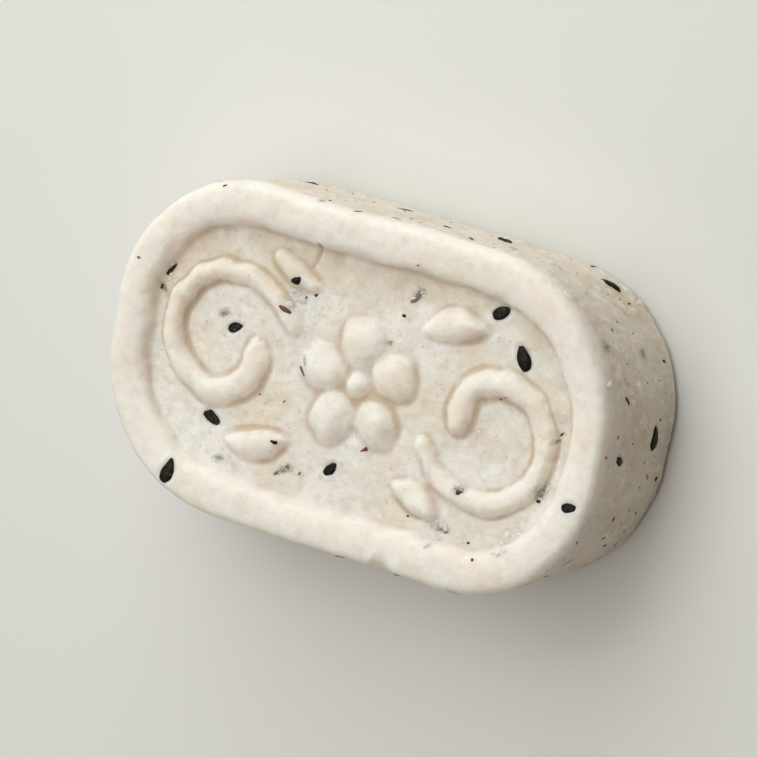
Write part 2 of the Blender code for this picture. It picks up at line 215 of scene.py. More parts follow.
# Small bits that show on the top: x, y, turn in degrees, length, width and tone
TOP_BITS = in_metres((0, 1, 3, 4), (
    (-24.7, 6.1, 56, 2.5, 0.8, BLACK),
    (-25.3, 3.8, 115, 1.2, 0.6, UMBER),
    (-9.2, 8.9, 33, 1.4, 1.1, BLACK),
    (-6.8, 7.9, 15, 0.6, 0.5, BLACK),
    (-8.0, 7.4, 60, 0.5, 0.4, UMBER),
    (-9.9, 5.6, -10, 2.0, 0.6, RED),
    (-6.9, -0.1, -41, 2.2, 0.6, UMBER),
    (-11.2, -4.1, 16, 0.5, 0.4, RED),
    (-8.1, -4.0, 16, 0.6, 0.4, UMBER),
    (-7.9, -8.3, 16, 0.9, 0.8, BLACK),
    (2.3, -6.4, 40, 1.3, 0.8, RED),
    (4.7, 10.6, 39, 1.8, 0.8, GREY),
    (3.9, 8.6, 15, 0.7, 0.5, BLACK),
    (23.6, -5.9, -2, 0.7, 0.5, BLACK),
    (14.7, -7.4, 5, 1.1, 0.7, UMBER),
    (16.9, 3.2, 35, 0.6, 0.3, GREY),
    (17.6, 3.6, 26, 0.5, 0.3, GREY),
    (24.5, 1.5, 38, 1.2, 0.4, UMBER),
    (13.7, -12.0, 35, 0.8, 0.6, GREY),
    (16.6, -12.4, 16, 0.5, 0.4, UMBER),
    (9.0, -11.7, 16, 0.5, 0.4, RED),
    (-7.3, -11.7, 35, 0.8, 0.5, GREY),
    (-6.2, -10.6, 60, 0.6, 0.5, GREY),
    (-4.5, -10.9, 47, 0.8, 0.5, GREY),
    (18.2, -13.6, -4, 0.6, 0.5, UMBER),
    (-19.5, 16.6, 15, 0.7, 0.5, UMBER),
    (5.0, 14.4, 15, 0.6, 0.4, RED),
    (-27.9, 6.5, 15, 0.6, 0.5, GREY),
))

# Small bits in plain view on the side: share of the way round, height, turn, length, width, tone
SIDE_BITS = in_metres((1, 3, 4), (
    (0.037, 15.2, 20, 1.5, 1.1, PALE),
    (0.004, 13.6, 80, 0.9, 0.6, RED),
    (0.999, 10.0, 10, 0.6, 0.4, RED),
    (0.968, 1.9, 0, 1.1, 0.8, BLACK),
    (0.011, 4.0, 60, 0.7, 0.5, RED),
    (0.050, 1.9, 20, 0.9, 0.6, BLACK),
    (0.927, 8.0, 50, 0.8, 0.5, UMBER),
    (0.931, 7.0, 10, 0.5, 0.4, RED),
    (0.073, 11.0, 70, 0.8, 0.5, GREY),
    (0.312, 8.0, 15, 1.2, 0.8, BLACK),
    (0.212, 10.2, 5, 1.5, 0.8, UMBER),
    (0.236, 14.4, 5, 1.1, 0.6, GREY),
))

# Places on the side, by share and height, that the spread bits and lumps keep away from
TAKEN_ON_SIDE = tuple(row[:2] for row in SIDE_SEEDS + DATES + SIDE_BITS)

# How many more bits the sides get, by a rule, how far apart they lie, their least length and how
# much longer they can be in millimetres, their share of that in plain view, and their tones
SPREAD_BIT_COUNT, SPREAD_BIT_GAP = 130, 1.7 * MM
SPREAD_BIT_LEAST, SPREAD_BIT_MORE, SHARE_IN_VIEW = 0.35, 1.75, 0.6
SPREAD_TONES = (BLACK, BLACK, BLACK, UMBER, UMBER, GREY, GREY, RED)

# Pale lumps of nut in the sides: their number, gap and lowest height, half their thickness and
# their range of lengths in millimetres
LUMP_COUNT, LUMP_GAP, LUMP_LOWEST, LUMP_HALF_THICKNESS = 20, 6 * MM, 3.2 * MM, 0.4 * MM
LUMP_LENGTHS = (1.4, 3.4)

# Bits that lie just under the skin and show as grey smudges: x, y, turn, length and width
SMUDGES = in_metres((0, 1, 3, 4), (
    (23.7, -4.8, 63, 4.0, 2.2),
    (5.3, 11.2, 39, 2.8, 1.6),
    (-25.0, 3.7, 115, 2.6, 1.1),
    (2.9, 5.3, 22, 2.0, 1.4),
    (-6.3, -10.8, 30, 4.4, 1.8),
    (-14.4, -11.9, 16, 2.4, 1.6),
    (-6.6, 1.0, 120, 2.6, 1.0),
    (14.4, -7.2, 20, 2.8, 1.6),
    (24.2, 0.9, 38, 2.0, 1.1),
    (13.2, -12.0, 10, 3.4, 1.5),
    (-17.3, 3.2, 30, 2.6, 1.6),
))

# How many more smudges the sides get, by a rule, their gap, and the radii between which theirs lie
SIDE_SMUDGE_COUNT, SIDE_SMUDGE_GAP = 16, 6 * MM
SIDE_SMUDGE_RADII = (0.8 * MM, 2.0 * MM)

# Loose crumbs on the panel and on the sides, how far apart those on the sides lie, and their least
# half length and how much more it can be in millimetres
PANEL_CRUMB_COUNT, SIDE_CRUMB_COUNT, SIDE_CRUMB_GAP = 60, 110, 1.2 * MM
CRUMB_LEAST, CRUMB_MORE = 0.1, 0.22

# Little heaps of pale crumbs on the panel: how much bigger they are, and x, y, spread and number
HEAP_GROWTH = 2.2
CRUMB_HEAPS = in_metres((0, 1, 2), (
    (-8.8, 7.2, 1.5, 18),
    (4.9, 11.0, 1.1, 7),
    (21.0, -11.0, 1.6, 9),
    (12.6, -12.4, 1.3, 8),
    (-24.6, 5.0, 0.8, 4),
    (24.0, 3.2, 1.1, 6),
))

# The lights: direction, distance, size, power and colour; and the even sky
LIGHTS = {
    "key": ((-0.33, 0.67, 0.68), 0.45, 0.45, 1.32, (0.98, 0.995, 0.985)),
    "top": ((-0.05, 0.06, 1.0), 0.9, 0.8, 4.0, (0.975, 0.99, 0.99)),
    "fill": ((-0.45, -0.8, 0.45), 0.9, 0.8, 1.2, (1.0, 0.96, 0.9)),
    "back": ((-0.22, 1.0, 0.2), 0.9, 0.7, 1.8, (0.98, 0.99, 0.98)),
}
SKY_COLOUR = (1.0, 0.64, 0.38)
SKY_STRENGTH = 0.078

# The floor of the stage lies a hair below the cake
STAGE_HALF, STAGE_DROP = 3.0, 0.02 * MM

# The view: azimuth and elevation of the camera, its roll, its distance, what it looks at, and the
# width that its picture covers there
VIEW_AZIMUTH = math.radians(112.7)
VIEW_ELEVATION = math.radians(59.9)
VIEW_ROLL = math.radians(-98.3)
VIEW_DISTANCE = 0.6
VIEW_TARGET = (-1.0 * MM, 0.0, 9.0 * MM)
VIEW_WIDTH = 80 * MM


def length_property(name, description, millimetres):
    """A length property, whose default is given in millimetres."""
    return FloatProperty(name=name, description=description, default=millimetres * MM,
                         unit="LENGTH")


class CakeSizes(bpy.types.PropertyGroup):
    """Sizes of the cake, its panel and what is pressed into it."""

    length: length_property("Length", "Length of the cake", 60.0)
    width: length_property("Width", "Width of the cake", 36.3)
    thickness: length_property("Thickness", "Height of the rim", 17.0)
    corner_radius: length_property("Corner radius", "Radius of the outline", 16.0)
    panel_length: length_property("Panel length", "Length of the sunken panel", 51.9)
    panel_width: length_property("Panel width", "Width of the sunken panel", 27.1)
    panel_radius: length_property("Panel radius", "Corner radius of the panel", 11.9)
    panel_depth: length_property("Panel depth", "How far the panel is sunk", 1.7)
    relief: length_property("Relief", "Height of the blossom and the vines", 1.0)
    seed_length: length_property("Seed length", "Length of a sesame seed", 2.8)
    seed_width: length_property("Seed width", "Width of a sesame seed", 1.65)
    seed_thickness: length_property("Seed thickness", "Thickness of a seed", 0.9)


def colour_property(name, description, default):
    """A colour property, given in linear light."""
    return FloatVectorProperty(name=name, description=description, subtype="COLOR", size=3,
                               default=default, min=0.0, max=1.0)


def srgb(red, green, blue):
    """A display colour of 0 to 255 as linear light."""
    levels = np.array([red, green, blue]) / 255
    return tuple(np.where(levels < 0.04045, levels / 12.92, ((levels + 0.055) / 1.055) ** 2.4))


class CakeColours(bpy.types.PropertyGroup):
    """Colours of the cake and its pieces."""

    rim: colour_property("Rim", "The smooth, creamy rim", srgb(243, 239, 230))
    floor: colour_property("Panel", "The sandy floor of the panel", srgb(236, 231, 220))
    side: colour_property("Side", "The sandy sides", srgb(227, 217, 201))
    # The tan of the painted shade along the wall and beside the strokes
    hollow: colour_property("Hollows", "Where the wall and strokes meet", srgb(209, 190, 163))
    grain: colour_property("Grains", "Glassy rice grains in the dough", srgb(213, 208, 197))
    seed: colour_property("Sesame", "Husk of the black sesame", srgb(14, 12, 9))
    skin: colour_property("Date skin", "Skin of the red date", srgb(104, 40, 28))
    flesh: colour_property("Date flesh", "Flesh of the red date", srgb(178, 118, 66))
    nut: colour_property("Nuts", "Pale nut and rice lumps", srgb(236, 231, 219))
    stage: colour_property("Stage", "The plain floor", srgb(228, 229, 225))


class Level:
    """A number that varies over a surface. Sums and comparisons of it add Math nodes."""

    def __init__(self, bench, socket):
        self.bench = bench
        self.socket = socket

    def math(self, operation, first, second=0.0, clamp=False):
        settings = {"operation": operation, "use_clamp": clamp}
        return self.bench.node("ShaderNodeMath", settings, {0: first, 1: second})

    def __add__(self, other):
        return self.math("ADD", self, other)

    __radd__ = __add__

    def __sub__(self, other):
        return self.math("SUBTRACT", self, other)

    def __rsub__(self, other):
        return self.math("SUBTRACT", other, self)

    def __mul__(self, other):
        return self.math("MULTIPLY", self, other)

    def __gt__(self, other):
        return self.math("GREATER_THAN", self, other)

    def __lt__(self, other):
        return self.math("LESS_THAN", self, other)

    def clamped(self):
        return self.math("ADD", self, 0.0, clamp=True)

    def between(self, low, high):
        """0 below low, 1 above high, and a smooth step from one to the other."""
        settings = {"interpolation_type": "SMOOTHSTEP"}
        return self.bench.node("ShaderNodeMapRange", settings,
                               {"Value": self, "From Min": low, "From Max": high})


class Bench:
    """A material being made: its nodes, its pattern space, its shader and its colour so far."""

    def __init__(self, name, colour=None, **shader_values):
        self.colour = colour
        self.material = bpy.data.materials.new(name)
        self.material.use_nodes = True
        self.tree = self.material.node_tree
        self.shader = self.tree.nodes["Principled BSDF"]
        self.place = self.node("ShaderNodeTexCoord", output="Object")
        for socket, value in shader_values.items():
            self.shader.inputs[socket.replace("_", " ")].default_value = value

    def node(self, kind, settings=None, inputs=None, output=0):
        """Adds a node: its settings first, then the values or links of its sockets."""
        made = self.tree.nodes.new(kind)
        for name, value in (settings or {}).items():
            if name == "stops":
                self.set_stops(made.color_ramp, value)
            else:
                setattr(made, name, value)
        for name, value in (inputs or {}).items():
            self.put(made.inputs[name], value)
        return Level(self, made.outputs[output])

    def set_stops(self, ramp, stops):
        """Fills a colour ramp from (place, colour) pairs."""
        while len(ramp.elements) < len(stops):
            ramp.elements.new(1.0)
        for element, (position, colour) in zip(ramp.elements, stops):
            element.position = position
            element.color = (*colour, 1.0)

    def put(self, socket, value):
        """Links a level to a socket, or sets the socket's own value."""
        if isinstance(value, Level):
            self.tree.links.new(value.socket, socket)
        elif hasattr(value, "__len__") and socket.type == "RGBA":
            socket.default_value = (*value, 1.0)
        else:
            socket.default_value = value

    def attribute(self, name):
        return self.node("ShaderNodeAttribute", {"attribute_name": name}, output="Fac")

    def noise(self, size, roughness=0.5, detail=3.0):
        """Cloudy noise whose features are about `size` across."""
        return self.node("ShaderNodeTexNoise", inputs={
            "Vector": self.place, "Scale": 1 / size, "Detail": detail, "Roughness": roughness})

    def cells(self, size):
        """Uneven cells about `size` across, bent by noise: how far a spot is from the middle of
        its cell, as a share of the size, and a random number for each cell."""
        push = self.node("ShaderNodeTexNoise", inputs={
            "Vector": self.place, "Scale": 1.7 / size, "Detail": 3.0}, output="Color")
        bent = self.node("ShaderNodeVectorMath", {"operation": "MULTIPLY_ADD"},
                         {0: push, 1: (1.1 * size,) * 3, 2: self.place})
        gap = self.node("ShaderNodeTexVoronoi", inputs={"Vector": bent, "Scale": 1 / size})
        colour = Level(self, gap.socket.node.outputs["Color"])
        return gap, self.node("ShaderNodeSeparateColor", inputs={0: colour})

    def specks(self, size, chance, core, edge):
        """Soft specks in the middle of the cells whose random number is above the chance."""
        gap, pick = self.cells(size)
        return (pick > chance) * (1 - gap.between(core, edge))

    def mix(self, factor, first, second):
        """Blends two colours."""
        return self.node("ShaderNodeMix", {"data_type": "RGBA"},
                         {0: factor, 6: first, 7: second}, 2)

    def paint(self, factor, colour):
        """Lays a colour over the material's colour so far, as strongly as the factor says."""
        self.colour = self.mix(factor, self.colour, colour)

    def bump(self, height, distance, strength):
        """A normal tilted by a height, given as a share of `distance`."""
        return self.node("ShaderNodeBump", inputs={
            "Height": height, "Distance": distance, "Strength": strength})

    def finish(self, **links):
        """Links the colour and the levels that vary over the surface to the shader."""
        for socket, value in {"Base_Color": self.colour, **links}.items():
            self.put(self.shader.inputs[socket.replace("_", " ")], value)
        return self.material


def section_corners(sizes):
    """The corners of the block's section, from the underside to the floor of the panel.

    Each is a ring's half length, half width, corner radius and height, and then the rounding
    that the corner gets.
    """
    a, b, r = sizes.length / 2, sizes.width / 2, sizes.corner_radius
    pa, pb, pr = sizes.panel_length / 2, sizes.panel_width / 2, sizes.panel_radius
    top = sizes.thickness
    floor = top - sizes.panel_depth
    foot = (a - FOOT_IN_ENDS, b - FOOT_IN_SIDES, r - FOOT_IN_SIDES)
    underside = (foot[0] - UNDERSIDE_BAND, foot[1] - UNDERSIDE_BAND, r - UNDERSIDE_BAND)
    middle = ((a + pa) / 2, (b + pb) / 2, (r + pr) / 2)
    return np.array([
        (*underside, 0, 0),
        (*foot, 0, FOOT_ROUND),
        (a + BELLY_OUT, b - BELLY_IN, r, BELLY_HEIGHT, BELLY_ROUND),
        (a, b, r, top, SHOULDER_ROUND),
        (*middle, top + CROWN, CROWN_ROUND),
        (pa + WALL_SLOPE, pb + WALL_SLOPE, pr + WALL_SLOPE, top - CROWN, LIP_ROUND),
        (pa - WALL_SLOPE, pb - WALL_SLOPE, pr - WALL_SLOPE, floor, WALL_FOOT_ROUND),
        (pa - FLOOR_BAND, pb - FLOOR_BAND, pr - FLOOR_BAND, floor, 0),
    ])


def section_rings(sizes, steps):
    """Rings along the section: each corner is a quadratic curve between its two straight legs."""
    corners = section_corners(sizes)
    rings = [corners[0, :4]]
    for before, corner, after in zip(corners, corners[1:], corners[2:]):
        ends = []
        for other in (before, after):
            reach = math.hypot(*(other - corner)[[1, 3]])
            share = min(corner[4] / reach, 0.5)
            ends.append(corner + (other - corner) * share)
        for t in np.linspace(0, 1, steps):
            ring = ends[0] * (1 - t) ** 2 + 2 * corner * t * (1 - t) + ends[1] * t ** 2
            rings.append(ring[:4])
    rings.append(corners[-1, :4])
    return np.array(rings)


def around(share):
    """Direction and slides of a rounded oblong, for shares of the way round from +X.

    The direction turns through the corners and waits along the straight sides, where the
    corner's centre slides instead.
    """
    corner, side, end = CORNER_SHARE, SIDE_SHARE, END_SHARE
    knots = np.cumsum([0, corner, side, corner, end, corner, side, corner, end])
    quarter = math.pi / 2
    turn = np.interp(share, knots, quarter * np.array([0, 1, 1, 2, 2, 3, 3, 4, 4]))
    slide_x = np.interp(share, knots, [1, 1, -1, -1, -1, -1, 1, 1, 1])
    slide_y = np.interp(share, knots, [1, 1, 1, 1, -1, -1, -1, -1, 1])
    return turn, slide_x, slide_y


def ring_points(rings, share):
    """Points of rings: corner centre plus radius times direction, one row for each ring."""
    half_length, half_width, radius, height = np.atleast_2d(rings).T[:, :, None]
    turn, slide_x, slide_y = around(share)
    x = (half_length - radius) * slide_x + radius * np.cos(turn)
    y = (half_width - radius) * slide_y + radius * np.sin(turn)
    return np.stack([x, y, np.broadcast_to(height, x.shape)], axis=-1)


def warp(points, sizes):
    """Moves points by slow waves, which fade to nothing on the underside."""
    x, y, z = points[..., 0] / WAVE_X, points[..., 1] / WAVE_Y, points[..., 2] / WAVE_Z
    fade = np.clip(points[..., 2] / sizes.thickness, 0, 1)
    lean = WARP_ACROSS * (WARP_AT_FOOT + (1 - WARP_AT_FOOT) * fade)
    first, second, third, fourth = WAVE_STARTS
    moved = points.copy()
    moved[..., 0] += lean * np.sin(y + z + first)
    moved[..., 1] += lean * np.sin(x - z + second)
    moved[..., 2] += WARP_UP * fade * np.sin(x + third) * np.cos(y + fourth)
    return moved


def ring_between(rings, order):
    """The ring at a fractional place in the list."""
    places = np.arange(len(rings))
    return np.array([np.interp(order, places, rings[:, k]) for k in range(4)])


def skin_frame(sizes, share, height=None, inset=None):
    """A point of the side at a height, or of the rim at an inset, with its normal and tangent."""
    rings = section_rings(sizes, LOOK_UP_STEPS)
    top = int(np.argmax(rings[:, 3]))
    across = sizes.width / 2 - rings[:, 1]
    if inset is None:
        order = np.interp(height, rings[:top, 3], np.arange(top))
    else:
        first = int(np.argmin(across[:top]))
        order = np.interp(inset, across[first:], np.arange(first, len(rings)))
    step, nudge = 0.4, 0.002
    near = [ring_points(ring_between(rings, order + d), np.array([share]))[0, 0]
            for d in (-step, 0, step)]
    beside = ring_points(ring_between(rings, order), np.array([share + nudge]))[0, 0]
    along = Vector(beside - near[1]).normalized()
    up = Vector(near[2] - near[0]).normalized()
    return Vector(near[1]), along.cross(up).normalized(), along


def cell_keys(cells, count):
    """A number below `count`, a power of two, for each lattice cell, which looks random."""
    key = cells @ np.array([73856093, 19349663, 83492791])
    return (key ^ (key >> 11) ^ (key >> 5)) & (count - 1)


def lattice_noise(points, size, seed):
    """Gradient noise: on a cubic lattice each corner holds a random slope, and the eight slopes
    round a point are blended with a smooth weight. Values lie between about -1 and 1."""
    table = np.random.default_rng(seed).normal(size=(256, 3))
    table /= np.linalg.norm(table, axis=1, keepdims=True)
    scaled = points / size
    cell = np.floor(scaled).astype(np.int64)
    inside = scaled - cell
    weight = inside ** 3 * (inside * (inside * 6 - 15) + 10)
    total = np.zeros(len(points))
    for corner in itertools.product((0, 1), repeat=3):
        slope = table[cell_keys(cell + corner, len(table))]
        share = np.prod(np.where(corner, weight, 1 - weight), axis=1)
        total += share * np.sum(slope * (inside - corner), axis=1)
    return 1.6 * total


def grain_domes(points, size, seed):
    """Sandy grains: each lattice cell holds one dome of random place, width and height, and a
    point takes the highest dome that covers it. Values lie between 0 and 1."""
    generator = np.random.default_rng(seed)
    spots = generator.random((1024, 3))
    widths = generator.uniform(0.35, 0.62, 1024)
    heights = generator.random(1024) ** 1.5
    scaled = points / size
    cell = np.floor(scaled).astype(np.int64)
    best = np.zeros(len(points))
    for shift in itertools.product((-1, 0, 1), repeat=3):
        near = cell + shift
        key = cell_keys(near, len(spots))
        gap = np.linalg.norm(scaled - near - spots[key], axis=1) / widths[key]
        best = np.maximum(best, heights[key] * np.clip(1 - gap ** 2, 0, None))
    return best


def layered(pattern, points, layers, start=0):
    """The sum of a pattern's layers, each given by its height, size and seed."""
    return sum((height * pattern(points, size, seed) for height, size, seed in layers), start)


def bell(gap, width):
    """1 where the gap is 0, falling off to both sides like a bell."""
    return np.exp(-(gap / width) ** 2)


def smooth_step(values, low, high):
    """0 below low and 1 above high, by the usual cubic in between."""
    t = np.clip((values - low) / (high - low), 0, 1)
    return t * t * (3 - 2 * t)


def rounded_ends(half_widths, distances):
    """Half widths that close like a ball over the last half width at each end."""
    from_end = np.minimum(distances, distances[-1] - distances)
    open_share = np.clip(from_end / half_widths, THINNEST_SHARE, 1)
    return half_widths * np.sqrt(1 - (1 - open_share) ** 2)


def vine_path():
    """A curl whose radius shrinks evenly with its angle, and its half widths."""
    t = np.linspace(0, 1, PATH_POINTS * 2)
    angle = VINE_START_ANGLE + VINE_SWEEP * t
    radius = VINE_START_RADIUS - VINE_PITCH * VINE_SWEEP * t / math.tau
    path = np.stack([VINE_CENTRE[0] + radius * np.cos(angle),
                     VINE_CENTRE[1] + radius * np.sin(angle)], axis=1)
    steps = np.hypot(*np.diff(path, axis=0).T)
    distances = np.concatenate([[0], np.cumsum(steps)])
    widths = VINE_TAIL_HALF_WIDTH + (VINE_HALF_WIDTH - VINE_TAIL_HALF_WIDTH) * np.sqrt(t)
    return path, rounded_ends(widths, distances)


def leaf_path(start, end, bow, half_width):
    """A bowed leaf: straight from start to end, pushed sideways and widest in the middle."""
    t = np.linspace(0, 1, PATH_POINTS)
    start, end = np.array(start), np.array(end)
    across = np.array([start[1] - end[1], end[0] - start[0]])
    across /= np.hypot(*across)
    hump = np.sin(math.pi * t)
    path = start + np.outer(t, end - start) + np.outer(bow * hump, across)
    return path, half_width * np.clip(hump, THINNEST_SHARE, 1) ** 0.6


def oval_share(spots, angle, half_length, half_width, away=0.0):
    """How far spots lie from the middle of a turned oval, as a share of its half sizes. The
    middle is at the origin, or `away` from it along the oval's length."""
    along = spots @ np.array([math.cos(angle), math.sin(angle)]) - away
    across = spots @ np.array([-math.sin(angle), math.cos(angle)])
    return np.hypot(along / half_length, across / half_width)


def relief_height(spots, sizes):
    """Height of the blossom and vines over the floor, for rows of x and y.

    For every shape, q is how far a spot lies from its middle line as a share of its half width
    there, so q is 1 along its edge. The height is 1 - q to the power 2.5, smoothly cut off at 0,
    less a narrow groove along the edge. Noise pushes the spots about and makes q and the height
    uneven, like soft dough that comes out of a mould.
    """
    flat = np.column_stack([spots, np.zeros(len(spots))])
    uneven = np.clip(0.95 + 0.45 * lattice_noise(flat, 4.8 * MM, seed=23), 0.4, 1.2)
    uneven += 0.14 * lattice_noise(flat, 1.9 * MM, seed=26)
    spots = spots + 0.3 * MM * np.stack(
        [lattice_noise(flat, 2.6 * MM, seed) for seed in (21, 22)], axis=1)
    nearest = np.hypot(*spots.T) / HEART_RADIUS
    for angle in BLOSSOM_TURN + np.arange(PETAL_COUNT) * math.tau / PETAL_COUNT:
        q = oval_share(spots, angle, PETAL_HALF_LENGTH, PETAL_HALF_WIDTH, PETAL_DISTANCE)
        nearest = np.minimum(nearest, q)
    for path, half_widths in [vine_path()] + [leaf_path(*leaf) for leaf in LEAVES]:
        for sign in (1, -1):
            gaps = np.linalg.norm(spots[:, None] - sign * path[None], axis=2)
            nearest = np.minimum(nearest, (gaps / half_widths).min(axis=1))
    nearest *= layered(lattice_noise, flat, STROKE_EDGES, start=1)
    raw = sizes.relief * uneven * (1 - np.minimum(nearest, 3) ** 2.5)
    groove = GROOVE_DEPTH * bell(nearest - 1.12, 0.16)
    return (raw + np.sqrt(raw ** 2 + STROKE_FILLET ** 2)) / 2 - groove


def coons_grid(top, bottom, left, right):
    """A grid filled in from its four edges: the mean of the two ways of blending opposite edges,
    less what the four corners alone would give."""
    v = np.linspace(0, 1, len(left))[:, None, None]
    u = np.linspace(0, 1, len(bottom))[None, :, None]
    across = (1 - v) * bottom[None] + v * top[None]
    along = (1 - u) * left[:, None] + u * right[:, None]
    corners = ((1 - u) * (1 - v) * bottom[0] + u * (1 - v) * bottom[-1]
               + (1 - u) * v * top[0] + u * v * top[-1])
    return across + along - corners


def new_piece(name, points, faces, material, attributes):
    """A smooth mesh object from arrays, riding on the cake's body."""
    mesh = bpy.data.meshes.new(name)
    mesh.from_pydata(points.tolist(), [], faces)
    for key, values in attributes.items():
        layer = mesh.attributes.new(key, "FLOAT", "POINT")
        layer.data.foreach_set("value", np.ascontiguousarray(values, dtype=np.float32))
    mesh.shade_smooth()
    mesh.materials.append(material)
    piece = bpy.data.objects.new(name, mesh)
    bpy.context.scene.collection.objects.link(piece)
    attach(piece, BODY)
    return piece


def vertex_normals(mesh):
    """Normals of a mesh's vertices as an array."""
    normals = np.empty(len(mesh.vertices) * 3)
    mesh.vertex_normals.foreach_get("vector", normals)
    return normals.reshape(-1, 3)


def turned_to(point, normal, along, turn):
    """The matrix that stands a piece on the skin: its Z along the normal, its X turned."""
    side = normal.cross(along).normalized()
    axes = Matrix((along, side, normal)).transposed().to_4x4()
    return Matrix.Translation(point) @ axes @ Matrix.Rotation(math.radians(turn), 4, "Z")


def nearest_gap(sizes, share, height, others):
    """How far a place on the side lies from the nearest of others, along the skin."""
    length_round = 2 * (sizes.length + sizes.width) - (8 - math.tau) * sizes.corner_radius
    return min(math.hypot(((share - s + 0.5) % 1 - 0.5) * length_round, height - h)
               for s, h in others)


def spread_round_sides(sizes, count, taken, chooser):
    """Places on the side, each the random one of a few that lies farthest from all before it."""
    places = []
    for _ in range(count):
        best, best_gap = None, -1.0
        for _ in range(SPREAD_TRIES):
            share, height = chooser.uniform(*SPREAD_SHARES), chooser.uniform(*SPREAD_HEIGHTS)
            gap = nearest_gap(sizes, share, height, taken + places)
            if gap > best_gap:
                best, best_gap = (share, height), gap
        places.append(best)
    return places


def side_spots(sizes, count, gap, seed, taken=((0.5, 0.0),)):
    """Random shares and heights on the side, none nearer than the gap to another or to one that
    is taken. Where none is given, that is a place at the foot of the far end."""
    chooser = random.Random(seed)
    spots = []
    while len(spots) < count:
        share, height = chooser.random(), chooser.uniform(*SIDE_HEIGHTS)
        if nearest_gap(sizes, share, height, [*taken, *spots]) > gap:
            spots.append((share, height))
    return spots


def seed_places(sizes):
    """Matrix and size of every whole seed: those in plain view, then those round the sides."""
    chooser = random.Random(SPREAD_SEED)
    up, right = Vector((0, 0, 1)), Vector((1, 0, 0))
    floor = sizes.thickness - sizes.panel_depth
    places = []
    for x, y, turn, size in PANEL_SEEDS:
        places.append((turned_to(Vector((x, y, floor)), up, right, turn), size))
    for share, inset, turn, size in RIM_SEEDS:
        point, normal, _ = skin_frame(sizes, share, inset=inset)
        places.append((turned_to(point, normal, right, turn), size))
    for share, height, turn, size in SIDE_SEEDS:
        places.append((turned_to(*skin_frame(sizes, share, height=height), turn), size))
    taken = [row[:2] for row in SIDE_SEEDS + DATES]
    for share, height in spread_round_sides(sizes, SPREAD_COUNT, taken, chooser):
        size = chooser.uniform(*SPREAD_SIZES)
        turn = chooser.uniform(0, 360)
        places.append((turned_to(*skin_frame(sizes, share, height=height), turn), size))
    return places


def four_sided(*corners):
    """Faces with four corners, from four grids that hold the point numbers of each corner."""
    return np.stack(corners, axis=-1).reshape(-1, 4).tolist()


def closed_ball(rows, columns):
    """A unit ball: rows of latitude and columns of longitude with a single point at each pole.

    Returns the points, with the poles at +X and -X, and the faces.
    """
    polar = np.linspace(0, math.pi, rows + 2)[1:-1, None]
    round_angle = np.linspace(0, math.tau, columns, endpoint=False)[None]
    x = np.broadcast_to(np.cos(polar), (rows, columns))
    y = np.sin(polar) * np.cos(round_angle)
    z = np.sin(polar) * np.sin(round_angle)
    grid = np.stack([x, y, z], axis=-1).reshape(-1, 3)
    points = np.concatenate([grid, [[1, 0, 0], [-1, 0, 0]]])
    index = np.arange(rows * columns).reshape(rows, columns)
    after = np.roll(index, -1, axis=1)
    faces = four_sided(index[:-1], index[1:], after[1:], after[:-1])
    first, last = rows * columns, rows * columns + 1
    faces += [(first, a, b) for a, b in zip(index[0].tolist(), after[0].tolist())]
    faces += [(last, b, a) for a, b in zip(index[-1].tolist(), after[-1].tolist())]
    return points, faces


def join_copies(shapes, faces):
    """Stacks copies that share one face list: each copy's faces are moved on by its points."""
    count = len(shapes[0])
    all_faces = [tuple(i + k * count for i in face) for k in range(len(shapes)) for face in faces]
    return np.concatenate(shapes), all_faces


def placed(matrix, points):
    """Points carried by a 4 by 4 matrix."""
    square = np.array(matrix)
    return points @ square[:3, :3].T + square[:3, 3]


